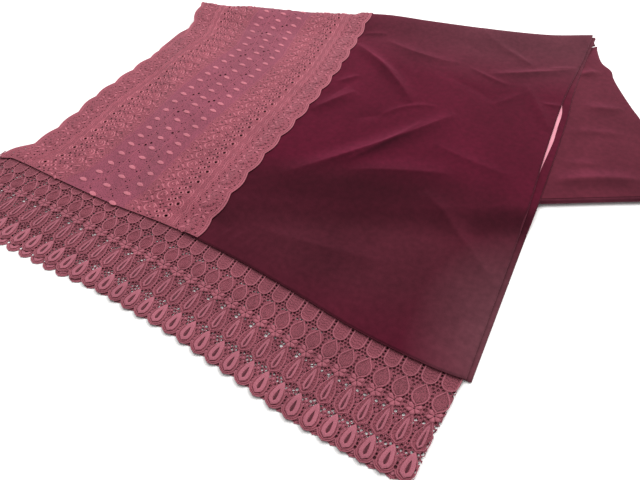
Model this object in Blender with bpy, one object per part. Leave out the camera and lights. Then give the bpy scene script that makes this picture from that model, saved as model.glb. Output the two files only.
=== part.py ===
"""Evening stole, folded twice and laid flat.

A velvet panel has a wide lace band along one long side and a teardrop lace trim on both short
ends. It is folded in half crosswise with the lining inside, and the doubled strip is folded under
along a slanted far line, so that its folded end comes out at the right as a tail.

The cloth frame: X across the stole, Y along it away from the trimmed ends, Z up from the surface
that it lies on. CENTRE is the point of that frame under the middle of the whole, and every piece
is moved by it, so that the object's origin is there. Sizes are in metres.
"""
import math

import bpy
from mathutils.geometry import delaunay_2d_cdt

# Cloth

PLY = 0.0018            # velvet with its lining
LACE = 0.0011
SATIN = 0.0010          # the strip of lining that shows
SEAM = 0.0004           # between pieces that meet
LAP = 0.0007            # between the lace band and the velvet that it laps over
SATIN_GAP = 0.0006      # below the satin
VELVET_RISE = 0.0042    # top half's velvet above the underside of the lower half
BAND_RISE = 0.0028      # top half's lace band above the same level
BAND_STAYS_UP = 0.013   # from its hem, over the trim that is sewn to it
BAND_COMES_DOWN = 0.030
CENTRE = (0.41777, 0.29138)

# Top half: its edges, as seen from above

NEAR_HEM = (  # x, y
    (-0.002, -0.0008), (0.010, -0.0010), (0.022, 0.0052), (0.110, 0.0050), (0.200, 0.0050),
    (0.280, 0.0098), (0.340, 0.0100), (0.410, 0.0060), (0.480, -0.0010), (0.547, -0.0095),
    (0.604, -0.0123), (0.646, -0.0116), (0.672, -0.0085),
)
TOP_LEFT = (  # y, x
    (0.000, 0.002), (0.020, 0.009), (0.045, 0.021), (0.100, 0.021), (0.135, 0.018),
    (0.165, 0.013), (0.230, 0.012), (0.300, 0.012), (0.360, 0.017), (0.395, 0.020),
    (0.420, 0.011), (0.450, -0.001), (0.480, -0.010),
)
TOP_RIGHT = (  # y, x
    (-0.010, 0.6705), (0.100, 0.6700), (0.200, 0.6695), (0.270, 0.6668), (0.345, 0.6635),
    (0.410, 0.6616), (0.448, 0.6606), (0.500, 0.6606), (0.550, 0.6622), (0.620, 0.6655),
    (0.700, 0.6662),
)
BAND_EDGE = (  # y, x of the scallops' tips, where the lace band laps over the velvet
    (0.000, 0.3370), (0.060, 0.3380), (0.140, 0.3340), (0.225, 0.3325), (0.310, 0.3305),
    (0.400, 0.3235), (0.450, 0.3175), (0.500, 0.3100), (0.550, 0.3030), (0.600, 0.2960),
)
BAND_LAP = 0.0125
BAND_LAP_SHARE = 0.08   # the same, as a share of the velvet's width, up to its second column
BAND_SLOPE = 0.022      # across which the band comes down from the velvet beside it
SCALLOP = 0.0425        # from tip to tip
SCALLOP_DEPTH = 0.0045

# Lower half: only its edges show

UNDER_LEFT = (  # y, x
    (0.003, 0.010), (0.045, 0.027), (0.100, 0.027), (0.190, 0.019), (0.280, 0.017),
    (0.320, 0.011), (0.345, 0.004), (0.385, 0.004), (0.400, 0.010), (0.425, 0.017),
    (0.480, -0.004),
)
UNDER_RIGHT = (  # y, x
    (-0.007, 0.6760), (0.150, 0.6770), (0.250, 0.6775), (0.385, 0.6762), (0.460, 0.6745),
    (0.510, 0.6712), (0.580, 0.6700), (0.655, 0.6705), (0.700, 0.6725),
)
UNDER_HEM_SET_BACK = 0.0015
UNDER_HEM = (  # y, width of the velvet turned over beside the lining
    (0.300, 0.0118), (0.347, 0.0116), (0.363, 0.0099), (0.386, 0.0084), (0.424, 0.0092),
    (0.455, 0.0092), (0.482, 0.0124), (0.520, 0.0124),
)
UNDER_LAP = 0.0155

# Fold along the far side, under which both halves go back

FOLD = (  # x, y where the cloth starts to bend down
    (-0.012, 0.479), (0.043, 0.490), (0.077, 0.507), (0.151, 0.530), (0.188, 0.541),
    (0.257, 0.570), (0.325, 0.598), (0.398, 0.612), (0.502, 0.635), (0.600, 0.664),
    (0.662, 0.697), (0.672, 0.702),
)
FOLD_ANGLE = math.radians(18.1)
FOLD_HOLLOW = 0.0156    # under the lower half at the fold
FOLD_REACH = 0.075      # how far that hollow reaches back from the fold
FOLD_STEPS = 6
FOLD_LIP = 0.006
FOLD_SPREAD = 0.18      # how far the slanted fold carries the cloth sideways, of its own length
ALONG_FOLD = (math.cos(FOLD_ANGLE), math.sin(FOLD_ANGLE))
OUT_OF_FOLD = (-math.sin(FOLD_ANGLE), math.cos(FOLD_ANGLE))

# Folded tail

TAIL_SIDE = (  # y, x of the right edge
    (0.363, 0.8470), (0.510, 0.7690), (0.530, 0.7567), (0.580, 0.7302), (0.603, 0.7200),
    (0.624, 0.7135), (0.642, 0.6970), (0.683, 0.6835), (0.698, 0.6805),
)
TAIL_END = (  # x, y of the crosswise fold
    (0.264, 0.062), (0.450, 0.152), (0.600, 0.222), (0.678, 0.2645), (0.736, 0.2985),
    (0.790, 0.330), (0.847, 0.363),
)
TAIL_BACK = (  # share across, from the bend of the fold to the start of the tail
    (0.00, 0.0120), (0.90, 0.0120), (0.96, 0.0115), (1.00, 0.0105),
)
TAIL_VELVET = 0.0085    # height of its velvet side
TAIL_BAND = 0.0055      # height of its lace side
TAIL_AT_FOLD = 0.0060
TAIL_BAND_WIDTH = 0.33
TAIL_BAND_SLOPE = 0.12  # across which its height changes from lace side to velvet side
END_ANGLE = math.atan2(TAIL_END[-1][1] - TAIL_END[0][1], TAIL_END[-1][0] - TAIL_END[0][0])
TAIL_CLEAR = 0.0009     # under the lower half
TAIL_DRAPE = 0.046      # how far beside the tail the cloth over it comes down
TAIL_SHOULDER = 0.016   # how far past the tail's edge that cloth stays up
HEM_LIES = 0.012        # how far from its hem the lower half lies flat on the surface
HEM_RISES = 0.032
TAIL_COLUMNS = (0, 0.14, 0.28, 0.42, 0.54, 0.64, 0.72, 0.79, 0.85, 0.90, 0.95, 1)
TAIL_ROWS = (0, 0.08, 0.18, 0.29, 0.40, 0.50, 0.60, 0.70, 0.79, 0.87, 0.94, 1)
TAIL_PROFILE = (  # outward at a layered side, outward at the crosswise fold, share of the height
    (-0.0030, -0.0034, 1.00), (-0.0008, -0.0012, 0.88), (0.0000, 0.0000, 0.70),
    (-0.0006, 0.0002, 0.60), (-0.0034, 0.0003, 0.52), (-0.0006, 0.0002, 0.44),
    (0.0004, 0.0000, 0.26), (-0.0010, -0.0022, 0.00),
)

# Largest creases, as ridges of the top half

CREASES = (  # from x, y, to x, y, sideways bow at its middle, height, half width
    (0.365, 0.145, 0.530, 0.378, -0.006, 0.0042, 0.014),
    (0.310, 0.495, 0.460, 0.375, 0.008, 0.0050, 0.012),
    (0.345, 0.532, 0.492, 0.512, -0.012, 0.0030, 0.012),
    (0.488, 0.630, 0.602, 0.560, -0.004, 0.0032, 0.011),
    (0.548, 0.513, 0.668, 0.604, -0.004, 0.0042, 0.012),
    (0.600, 0.500, 0.662, 0.400, 0.000, 0.0026, 0.013),
    (0.545, 0.205, 0.672, 0.103, 0.004, 0.0042, 0.015),
    (0.375, 0.058, 0.560, 0.088, -0.006, 0.0030, 0.018),
    (0.334, 0.288, 0.372, 0.365, 0.000, 0.0030, 0.014),
    (0.440, 0.195, 0.570, 0.250, 0.004, 0.0030, 0.020),
    (0.060, 0.150, 0.200, 0.060, 0.006, 0.0022, 0.016),
    (0.040, 0.330, 0.170, 0.300, -0.006, 0.0020, 0.016),
)
TAIL_CREASES = (  # the same columns, on the tail
    (0.685, 0.308, 0.790, 0.366, 0.004, 0.0034, 0.014),
    (0.678, 0.598, 0.700, 0.630, 0.000, 0.0030, 0.010),
    (0.690, 0.500, 0.745, 0.520, -0.004, 0.0022, 0.012),
)

# Teardrop lace trim

MOTIF = 0.0198          # width of a repeat
MOTIFS = 34
LAST_MOTIF = 0.6603     # x of its middle
TRIM_TAB = 0.004        # above the motifs, under the hem
TRIM_LEFT = 0.000
TRIM_RIGHT = 0.6690
TRIM_TOP_LINE = (  # x, y of the top half's motifs' upper ends
    (0.000, 0.0080), (0.050, 0.0087), (0.123, 0.0152), (0.200, 0.0137), (0.260, 0.0124),
    (0.330, 0.0107), (0.400, 0.0067), (0.464, 0.0002), (0.503, -0.0048), (0.544, -0.0083),
    (0.585, -0.0103), (0.625, -0.0103), (0.660, -0.0073), (0.672, -0.0065),
)
TRIM_LEAN = ((0.000, 0.000), (0.417, -0.010), (0.557, -0.040), (0.672, -0.080))  # x, dx per depth
TRIM_INSET = 0.001      # no scallop point, tab point or gap is nearer than this to an end
TAB_INSET = 0.004
GAP_INSET = 0.006
UNDER_TRIM_CORNER = 0.0065  # how far its top edge keeps clear of the band's corner
UNDER_TRIM_CORNER_WIDTH = 0.07
TRIM_TUCKED = 0.0021    # level of the top trim where the hem covers it
TRIM_LYING = 0.0016     # level where it lies on the lower trim
TRIM_DROP = 0.020
INSIDE_OUTLINE = 1      # kind of triangulation
SAME_POINT = 1e-7
TRIM_EDGE = (  # share of a repeat from the ladder, depth of the scalloped edge
    (0.00, 0.1092), (0.24, 0.1120), (0.42, 0.1132), (0.50, 0.1163), (0.58, 0.1132), (0.76, 0.1120),
)
TRIM_GAPS = (  # depth of the middle, width, length: gaps in the ladder between two motifs
    (0.0412, 0.0042, 0.0050), (0.0620, 0.0048, 0.0100), (0.0900, 0.0046, 0.0078),
    (0.1030, 0.0042, 0.0060),
)
UNDER_TRIM_GAPS = TRIM_GAPS[2:]

FINISHES = {  # base colour, roughness
    "velvet": ((0.085, 0.012, 0.022), 0.85),
    "lace": ((0.27, 0.06, 0.085), 0.80),
    "satin": ((0.78, 0.30, 0.38), 0.45),
}


def mix(start, end, share):
    return start + (end - start) * share


def ease(share):
    """Smooth step from 0 to 1."""
    share = min(max(share, 0.0), 1.0)
    return share * share * (3 - 2 * share)


def curve(table, at):
    """Value of a smooth curve through a table of pairs, level past its ends."""
    keys = [row[0] for row in table]
    values = [row[1] for row in table]
    if at <= keys[0]:
        return values[0]
    if at >= keys[-1]:
        return values[-1]
    place = max(i for i, key in enumerate(keys) if key <= at)

    def slope(i):
        before = max(i - 1, 0)
        after = min(i + 1, len(keys) - 1)
        return (values[after] - values[before]) / (keys[after] - keys[before])

    span = keys[place + 1] - keys[place]
    t = (at - keys[place]) / span
    bend = t * (1 - t) * span
    level = mix(values[place], values[place + 1], ease(t))
    return level + bend * ((1 - t) * slope(place) - t * slope(place + 1))


def side_of(point, start, end):
    """Distance of a point to the left of the line from start to end."""
    run = (end[0] - start[0], end[1] - start[1])
    length = math.hypot(*run)
    return (run[0] * (point[1] - start[1]) - run[1] * (point[0] - start[0])) / length


def ridges(creases, x, y):
    """Height that the creases of a table add at a point."""
    height = 0.0
    for x0, y0, x1, y1, bow, rise, width in creases:
        length = math.hypot(x1 - x0, y1 - y0)
        along = ((x - x0) * (x1 - x0) + (y - y0) * (y1 - y0)) / length ** 2
        if 0 < along < 1:
            off = side_of((x, y), (x0, y0), (x1, y1)) - 4 * bow * along * (1 - along)
            taper = math.sin(math.pi * along) ** 0.7
            height += rise * taper * math.exp(-(off / width) ** 2)
    return height


# Shape of the stack of layers

def fold_y(x):
    return curve(FOLD, x)


def from_fold(x, y):
    """Distance from the fold, measured square to it."""
    return (fold_y(x) - y) * math.cos(FOLD_ANGLE)


def tail_height(x, y):
    """Height of the tail before its edges are rounded."""
    across = side_of((x, y), tail_left(0), tail_left(1))
    velvet = ease((across - TAIL_BAND_WIDTH) / TAIL_BAND_SLOPE + 0.5)
    body = mix(TAIL_BAND, TAIL_VELVET, velvet)
    near_fold = ease(from_fold(x, y) / FOLD_REACH)
    return mix(min(body, TAIL_AT_FOLD), body, near_fold)


def under_level(x, y):
    """Underside of the lower half: on the surface, or over the tail."""
    beyond_end = (y - curve(TAIL_END, x)) * math.cos(END_ANGLE)
    beyond_side = side_of((x, y), tail_left(0), tail_left(1))
    up = ease((beyond_end + TAIL_SHOULDER + TAIL_DRAPE) / TAIL_DRAPE)
    up *= ease((beyond_side + TAIL_SHOULDER + TAIL_DRAPE) / TAIL_DRAPE)
    up *= ease((y - under_hem(x) - HEM_LIES) / HEM_RISES)
    flat = tail_height(x, y) + TAIL_CLEAR
    hollow = ease(1 - from_fold(x, y) / FOLD_REACH)
    return up * mix(flat, FOLD_HOLLOW, hollow)


def band_edge(y):
    """Scalloped edge of the top lace band, on the velvet."""
    wave = abs(math.sin(math.pi * y / SCALLOP))
    return curve(BAND_EDGE, y) - SCALLOP_DEPTH * (1 - wave)


def scalloped_left(y):
    wave = abs(math.sin(math.pi * y / SCALLOP))
    return curve(TOP_LEFT, y) + SCALLOP_DEPTH * (0.5 - wave)


def velvet_left(y):
    return curve(BAND_EDGE, y) - BAND_LAP


def under_velvet_left(y):
    return curve(BAND_EDGE, y) - UNDER_LAP


def under_band_right(y):
    return under_velvet_left(y) - SEAM


def top_right(y):
    return curve(TOP_RIGHT, y)


def near_hem(x):
    return curve(NEAR_HEM, x)


def under_hem(x):
    return near_hem(x) + UNDER_HEM_SET_BACK


def velvet_level(x, y):
    return under_level(x, y) + VELVET_RISE + ridges(CREASES, x, y)


def band_level(x, y):
    """Underside of the top lace band: low on the lower one, up beside and on the velvet."""
    past_velvet = x - velvet_left(y)
    past_hem = y - near_hem(x)
    lap = VELVET_RISE + PLY + LAP
    lying = mix(VELVET_RISE, BAND_RISE, ease((past_hem - BAND_STAYS_UP) / BAND_COMES_DOWN))
    rise = mix(lying, lap, ease((past_velvet + BAND_SLOPE) / (BAND_SLOPE - 0.002)))
    return under_level(x, y) + rise + ridges(CREASES, x, y)


# Points of the layers

def half_point(left, right, hem, u, v):
    """Point of a half: u across it, v along it from its hem to the fold."""
    x = 0.0
    for _ in range(12):
        y = mix(hem(x), fold_y(x), v)
        x = mix(left(y), right(y), u)
    return x, y


def past_fold(start, top, lip, turn, run, depth):
    """Point of a wall that goes round the fold, depth below its outer face.

    turn is the angle round the fold and run is how far the wall then goes back beneath."""
    radius = (top - lip) / 2
    ring = radius - depth
    out = ring * math.sin(turn) - run
    along = FOLD_SPREAD * (radius * turn + run)
    x = start[0] + OUT_OF_FOLD[0] * out + ALONG_FOLD[0] * along
    y = start[1] + OUT_OF_FOLD[1] * out + ALONG_FOLD[1] * along
    return x, y, top - radius + ring * math.cos(turn)


def fold_rows(starts, tops, lips, thick):
    """Rows of outer and inner points that carry a wall round the fold."""
    rows = []
    places = [(math.pi * k / FOLD_STEPS, 0.0) for k in range(1, FOLD_STEPS + 1)]
    places.append((math.pi, FOLD_LIP))
    columns = list(zip(starts, tops, lips))
    for turn, run in places:
        outer = [past_fold(start, top, lip, turn, run, 0) for start, top, lip in columns]
        inner = [past_fold(start, top, lip, turn, run, thick) for start, top, lip in columns]
        rows.append((outer, inner))
    return rows


# Solids

def finish(name, kind):
    colour, roughness = FINISHES[kind]
    material = bpy.data.materials.new(name)
    material.use_nodes = True
    shader = material.node_tree.nodes["Principled BSDF"]
    shader.inputs["Base Color"].default_value = (*colour, 1)
    shader.inputs["Roughness"].default_value = roughness
    shader.inputs["Metallic"].default_value = 0
    return material


def add_object(name, kind, points, faces):
    moved = [(x - CENTRE[0], y - CENTRE[1], z) for x, y, z in points]
    mesh = bpy.data.meshes.new(name)
    mesh.from_pydata(moved, [], faces)
    mesh.validate()
    mesh.shade_smooth()
    mesh.set_sharp_from_angle(angle=math.radians(40))
    mesh.materials.append(finish(name, kind))
    bpy.context.scene.collection.objects.link(bpy.data.objects.new(name, mesh))


def add_wall(name, kind, outer, inner, faces):
    """Closed wall between two sheets of matching points; faces wind anticlockwise from above."""
    count = len(outer)
    back = [[count + i for i in reversed(face)] for face in faces]
    edges = {}
    for face in faces:
        for a, b in zip(face, face[1:] + face[:1]):
            edges[(a, b)] = True
    rim = [(a, b) for a, b in edges if (b, a) not in edges]
    sides = [(b, a, count + a, count + b) for a, b in rim]
    add_object(name, kind, outer + inner, faces + back + sides)


def grid_faces(columns, rows):
    """Quads of a grid of points kept row by row."""
    faces = []
    for j in range(rows - 1):
        for i in range(columns - 1):
            a = j * columns + i
            faces.append([a, a + 1, a + 1 + columns, a + columns])
    return faces


def add_half(name, kind, columns, rows, corner, level, thick, fold_lip=None, between=0):
    """Wall of one half from its grid, with its way round the fold where fold_lip is given.

    columns and rows are the shares across and along, and corner gives a grid point's x and y.
    fold_lip gives the level of the wall's outer face below the fold, for a share across.
    between is the number of points that each row gets more along both sides, for scallops."""
    plan = [[corner(u, v) for u in columns] for v in rows]
    outer = [[(x, y, level(x, y) + thick) for x, y in row] for row in plan]
    inner = [[(x, y, level(x, y)) for x, y in row] for row in plan]
    if fold_lip is not None:
        tops = [point[2] for point in outer[-1]]
        lips = [fold_lip(u) for u in columns]
        for outer_row, inner_row in fold_rows(plan[-1], tops, lips, thick):
            outer.append(outer_row)
            inner.append(inner_row)
    wide = len(columns)
    faces = grid_faces(wide, len(outer))
    outer, inner = sum(outer, []), sum(inner, [])
    steps = [k / (between + 1) for k in range(1, between + 1)]
    for j in range(len(rows) - 1):
        for column, cell, after in ((0, 0, 4), (wide - 1, wide - 2, 2)):
            low, high = outer[j * wide + column], outer[(j + 1) * wide + column]
            more = []
            for step in steps:
                x, y = corner(columns[column], mix(rows[j], rows[j + 1], step))
                z = mix(low[2], high[2], step)
                more.append(len(outer))
                outer.append((x, y, z))
                inner.append((x, y, z - thick))
            if column == 0:
                more.reverse()
            faces[j * (wide - 1) + cell][after:after] = more
    add_wall(name, kind, outer, inner, faces)


def shares(count):
    return [i / count for i in range(count + 1)]


ROWS = shares(30)
VELVET_COLUMNS = shares(20)
UNDER_COLUMNS = VELVET_COLUMNS[:16:2] + VELVET_COLUMNS[16:] + [1.6, 2.0]
BAND_FLAT = 0.89        # share of the lace band's width short of its slope
BAND_ON_VELVET = 0.952  # share at which it starts to lap over the velvet
BAND_COLUMNS = [BAND_FLAT * u for u in shares(8)] + [BAND_ON_VELVET, 1.0]
UNDER_BAND_ENDS = 0.985  # share of the way to the fold
LINING_STARTS = 0.85    # share of the velvet's width, under the top half
LINING_ROWS = [v for v in ROWS if 0.3 < v < 0.87]


def velvet_corner(u, v):
    return half_point(velvet_left, top_right, near_hem, u, v)


def under_corner(u, v):
    """The top half's own points; past u = 1 they go on to the lower half's right edge."""
    x, y = half_point(velvet_left, top_right, under_hem, min(u, 1.0), v)
    if u == 0:
        x = under_velvet_left(y)
    if u > 1:
        x = mix(x, curve(UNDER_RIGHT, y), u - 1)
    return x, y


def band_corner(u, v):
    """Only the band's two sides follow its scallops; its inner columns run smoothly."""
    if u in (0, 1):
        return half_point(scalloped_left, band_edge, near_hem, u, v)
    return half_point(lambda y: curve(TOP_LEFT, y), lambda y: curve(BAND_EDGE, y), near_hem, u, v)


def under_band_corner(u, v):
    """The top band's inner points; its two sides go to the lower band's own edges."""
    if u in (0, 1):
        return half_point(lambda y: curve(UNDER_LEFT, y), under_band_right, under_hem, u, v)
    return half_point(lambda y: curve(TOP_LEFT, y), lambda y: curve(BAND_EDGE, y), under_hem, u, v)


def velvet_lip(u):
    """Below the fold the velvet lies on the lace that laps over its left edge."""
    return LACE + LAP if u < BAND_LAP_SHARE else 0.0


def velvet_top():
    add_half("velvet_top", "velvet", VELVET_COLUMNS, ROWS, velvet_corner,
             velvet_level, PLY, velvet_lip)


def velvet_under():
    add_half("velvet_under", "velvet", UNDER_COLUMNS, ROWS, under_corner,
             under_level, PLY, lambda u: VELVET_RISE + velvet_lip(u))


def lining_under():
    """Satin on the lower half, from under the top half to the turned hem."""
    def corner(u, v):
        x, y = half_point(velvet_left, top_right, under_hem, mix(LINING_STARTS, 1.0, u), v)
        if u == 1:
            x = curve(UNDER_RIGHT, y) - curve(UNDER_HEM, y)
        return x, y

    add_half("lining_under", "satin", shares(3), LINING_ROWS, corner,
             lambda x, y: under_level(x, y) + PLY + SATIN_GAP, SATIN)


def lace_band_top():
    add_half("lace_band_top", "lace", BAND_COLUMNS, ROWS, band_corner,
             band_level, LACE, lambda u: 0.0, between=2)


def lace_band_under():
    add_half("lace_band_under", "lace", BAND_COLUMNS[:-2] + [1.0],
             ROWS[:-1] + [UNDER_BAND_ENDS], under_band_corner, under_level, LACE)


# Folded tail

def tail_start(u):
    x = mix(FOLD[0][0], FOLD[-1][0], u)
    back = curve(TAIL_BACK, u)
    over = FOLD_SPREAD * (math.pi * FOLD_HOLLOW / 2 + back)
    return (x + ALONG_FOLD[0] * over - OUT_OF_FOLD[0] * back,
            fold_y(x) + ALONG_FOLD[1] * over - OUT_OF_FOLD[1] * back)


def tail_end(u):
    x = mix(TAIL_END[0][0], TAIL_END[-1][0], u)
    return x, curve(TAIL_END, x)


def tail_left(v):
    start, end = tail_start(0), tail_end(0)
    return mix(start[0], end[0], v), mix(start[1], end[1], v)


def tail_right(v):
    y = mix(tail_start(1)[1], tail_end(1)[1], v)
    return curve(TAIL_SIDE, y), y


def tail_point(u, v):
    """Point of the tail's outline or inside, blended from its four edges."""
    point = []
    for axis in (0, 1):
        across = mix(tail_left(v)[axis], tail_right(v)[axis], u)
        along = mix(tail_start(u)[axis], tail_end(u)[axis], v)
        near = mix(tail_start(0)[axis], tail_start(1)[axis], u)
        far = mix(tail_end(0)[axis], tail_end(1)[axis], u)
        point.append(across + along - mix(near, far, v))
    return tuple(point)


def folded_tail():
    """Rounded solid of the tail: gridded top, layered sides, round crosswise fold, flat below."""
    columns, rows = TAIL_COLUMNS, TAIL_ROWS
    wide, long = len(columns), len(rows)
    rim = [(i, long - 1) for i in range(wide)]
    rim += [(wide - 1, j) for j in range(long - 2, -1, -1)]
    rim += [(i, 0) for i in range(wide - 2, -1, -1)]
    rim += [(0, j) for j in range(1, long - 1)]
    plan = {(i, j): tail_point(columns[i], rows[j]) for i in range(wide) for j in range(long)}

    outward = {}
    for k, cell in enumerate(rim):
        before, after = plan[rim[k - 1]], plan[rim[(k + 1) % len(rim)]]
        run = (after[0] - before[0], after[1] - before[1])
        length = math.hypot(*run)
        outward[cell] = (run[1] / length, -run[0] / length)

    def height(x, y):
        return tail_height(x, y) + ridges(TAIL_CREASES, x, y)

    points = []
    place = {}
    for j in range(long):
        for i in range(wide):
            x, y = plan[(i, j)]
            top = height(x, y)
            if (i, j) in outward:
                x += outward[(i, j)][0] * TAIL_PROFILE[0][0]
                y += outward[(i, j)][1] * TAIL_PROFILE[0][0]
            place[(i, j)] = len(points)
            points.append((x, y, top))
    faces = [[place[(i, j)], place[(i, j + 1)], place[(i + 1, j + 1)], place[(i + 1, j)]]
             for j in range(long - 1) for i in range(wide - 1)]

    ring = [place[cell] for cell in rim]
    for side, end, share in TAIL_PROFILE[1:]:
        lower = []
        for i, j in rim:
            layered = i in (0, wide - 1)
            out = side if layered else end
            x, y = plan[(i, j)]
            lower.append(len(points))
            points.append((x + outward[(i, j)][0] * out, y + outward[(i, j)][1] * out,
                           height(x, y) * share))
        for k in range(len(rim)):
            after = (k + 1) % len(rim)
            faces.append([ring[k], lower[k], lower[after], ring[after]])
        ring = lower
    faces.append(ring[::-1])
    add_object("folded_tail", "velvet", points, faces)


# Teardrop trims

def trim_point(line, x, depth):
    """Plan point of a trim: depth is measured down from its motifs' upper ends."""
    lean = curve(TRIM_LEAN, x) * max(depth, 0.0)
    return x + lean, line(x) - depth


def inset(x):
    """Distance from the nearer end of a trim."""
    return min(x - TRIM_LEFT, TRIM_RIGHT - x)


def trim_loops(line, shift, top_depth, gaps):
    """Outline of a trim and its gaps, as loops of plan points; shift moves its repeats."""
    first = LAST_MOTIF + shift - MOTIF * (MOTIFS - 1)
    ladders = [first + MOTIF * (k - 0.5) for k in range(MOTIFS + 1)]
    edge = [(x + MOTIF * share, depth) for x in ladders for share, depth in TRIM_EDGE]
    inside = [(x, depth) for x, depth in edge if inset(x) > TRIM_INSET]
    ends = TRIM_EDGE[1][1]
    bottom = [(TRIM_LEFT, ends)] + inside + [(TRIM_RIGHT, ends)]
    upper = [(x, top_depth(x)) for x in ladders if inset(x) > TAB_INSET]
    upper = [(TRIM_LEFT, top_depth(TRIM_LEFT))] + upper + [(TRIM_RIGHT, top_depth(TRIM_RIGHT))]
    outline = [trim_point(line, x, depth) for x, depth in bottom + upper[::-1]]
    loops = []
    for x in ladders:
        if inset(x) > GAP_INSET:
            for middle, width, length in gaps:
                corners = ((0, -length / 2), (-width / 2, 0), (0, length / 2), (width / 2, 0))
                loops.append([trim_point(line, x + dx, middle + dw) for dx, dw in corners])
    return outline, loops


def is_within(point, loop):
    """Whether a plan point lies within a loop of plan points."""
    within = False
    for (x0, y0), (x1, y1) in zip(loop, loop[1:] + loop[:1]):
        if (y0 > point[1]) != (y1 > point[1]):
            within ^= point[0] < mix(x0, x1, (point[1] - y0) / (y1 - y0))
    return within


def add_trim(name, outline, gaps, level):
    """Lace wall from its outline, with the gaps cut through."""
    plan, edges = [], []
    for loop in [outline] + gaps:
        first = len(plan)
        plan += loop
        edges += [(first + k, first + (k + 1) % len(loop)) for k in range(len(loop))]
    found = delaunay_2d_cdt(plan, edges, [], INSIDE_OUTLINE, SAME_POINT)
    points = [tuple(point) for point in found[0]]
    faces = []
    for face in found[2]:
        middle = [sum(points[i][axis] for i in face) / len(face) for axis in (0, 1)]
        if not any(is_within(middle, gap) for gap in gaps):
            faces.append(list(face))
    inner = [(x, y, level(x, y)) for x, y in points]
    outer = [(x, y, z + LACE) for x, y, z in inner]
    add_wall(name, "lace", outer, inner, faces)


def end_lace_top():
    def line(x):
        return curve(TRIM_TOP_LINE, x)

    def level(x, y):
        covered = ease((y - near_hem(x) + TRIM_DROP) / TRIM_DROP)
        return mix(TRIM_LYING, TRIM_TUCKED, covered)

    outline, gaps = trim_loops(line, 0.0, lambda x: -TRIM_TAB, TRIM_GAPS)
    add_trim("end_lace_top", outline, gaps, level)


def end_lace_under():
    def line(x):
        """Its scalloped edge shows below the top trim at the left and not at the right."""
        corner = UNDER_TRIM_CORNER * (1 - ease(x / UNDER_TRIM_CORNER_WIDTH))
        return under_hem(x) - SEAM - corner

    outline, gaps = trim_loops(line, -MOTIF / 2, lambda x: 0.0, UNDER_TRIM_GAPS)
    add_trim("end_lace_under", outline, gaps, lambda x, y: 0.0)


def main():
    for old in list(bpy.data.objects):
        bpy.data.objects.remove(old)
    folded_tail()
    velvet_under()
    lace_band_under()
    end_lace_under()
    lining_under()
    velvet_top()
    lace_band_top()
    end_lace_top()


main()
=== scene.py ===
"""Looks of the folded evening stole: velvet, wide lace band, teardrop trims, lining and tail.

Every surface is worked out in the cloth frame of the solids: X across the stole, Y along it away
from the trimmed ends, Z up from the surface. CENTRE is the point of that frame under the middle of
the whole, and every piece is moved by it. Sizes are in metres.
"""
import math

import bpy
import numpy as np
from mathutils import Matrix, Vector
from mathutils.geometry import delaunay_2d_cdt


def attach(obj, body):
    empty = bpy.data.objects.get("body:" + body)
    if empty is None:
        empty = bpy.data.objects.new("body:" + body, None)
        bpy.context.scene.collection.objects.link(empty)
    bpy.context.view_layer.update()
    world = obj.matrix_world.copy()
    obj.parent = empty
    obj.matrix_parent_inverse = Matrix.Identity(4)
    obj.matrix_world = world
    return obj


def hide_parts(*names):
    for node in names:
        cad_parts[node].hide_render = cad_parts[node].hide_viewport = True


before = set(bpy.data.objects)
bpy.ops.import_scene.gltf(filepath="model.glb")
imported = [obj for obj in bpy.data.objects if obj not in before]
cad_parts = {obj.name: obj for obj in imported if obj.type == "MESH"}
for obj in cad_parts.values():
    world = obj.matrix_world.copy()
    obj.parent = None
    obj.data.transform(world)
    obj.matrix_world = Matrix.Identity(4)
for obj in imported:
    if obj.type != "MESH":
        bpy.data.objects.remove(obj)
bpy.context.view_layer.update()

CHANCE = np.random.default_rng(7)

# Cloth

PLY = 0.0018            # velvet with its lining
LACE = 0.0011
SATIN = 0.0010
SEAM = 0.0004           # between pieces that meet
LAP = 0.0007            # between the lace band and the velvet that it laps over
SATIN_GAP = 0.0006      # below the satin
VELVET_RISE = 0.0042    # top half's velvet above the underside of the lower half
BAND_RISE = 0.0028      # top half's lace band above the same level
BAND_STAYS_UP = 0.013   # from its hem, over the trim that is sewn to it
BAND_COMES_DOWN = 0.030
CENTRE = (0.41777, 0.29138)

# Top half: its edges, as seen from above

NEAR_HEM = (  # x, y
    (-0.002, -0.0008), (0.010, -0.0010), (0.022, 0.0052), (0.110, 0.0050), (0.200, 0.0050),
    (0.280, 0.0098), (0.340, 0.0100), (0.410, 0.0060), (0.480, -0.0010), (0.547, -0.0095),
    (0.604, -0.0123), (0.646, -0.0116), (0.672, -0.0085),
)
TOP_LEFT = (  # y, x
    (0.000, 0.002), (0.020, 0.009), (0.045, 0.021), (0.100, 0.021), (0.135, 0.018),
    (0.165, 0.013), (0.230, 0.012), (0.300, 0.012), (0.360, 0.017), (0.395, 0.020),
    (0.420, 0.011), (0.450, -0.001), (0.480, -0.010),
)
TOP_RIGHT = (  # y, x
    (-0.010, 0.6705), (0.100, 0.6700), (0.200, 0.6695), (0.270, 0.6668), (0.345, 0.6635),
    (0.410, 0.6616), (0.448, 0.6606), (0.500, 0.6606), (0.550, 0.6622), (0.620, 0.6655),
    (0.700, 0.6662),
)
BAND_EDGE = (  # y, x of the scallops' tips
    (0.000, 0.3370), (0.060, 0.3380), (0.140, 0.3340), (0.225, 0.3325), (0.310, 0.3305),
    (0.400, 0.3235), (0.450, 0.3175), (0.500, 0.3100), (0.550, 0.3030), (0.600, 0.2960),
)
BAND_LAP = 0.0125
BAND_SLOPE = 0.022      # across which the band comes down from the velvet beside it
BAND_SLOPE_ENDS = 0.002   # short of the velvet's edge
LACE_BELOW = 0.028      # width from there over which the folded velvet lies on lace
SCALLOP = 0.0425
SCALLOP_DEPTH = 0.0045

# Lower half

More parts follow.
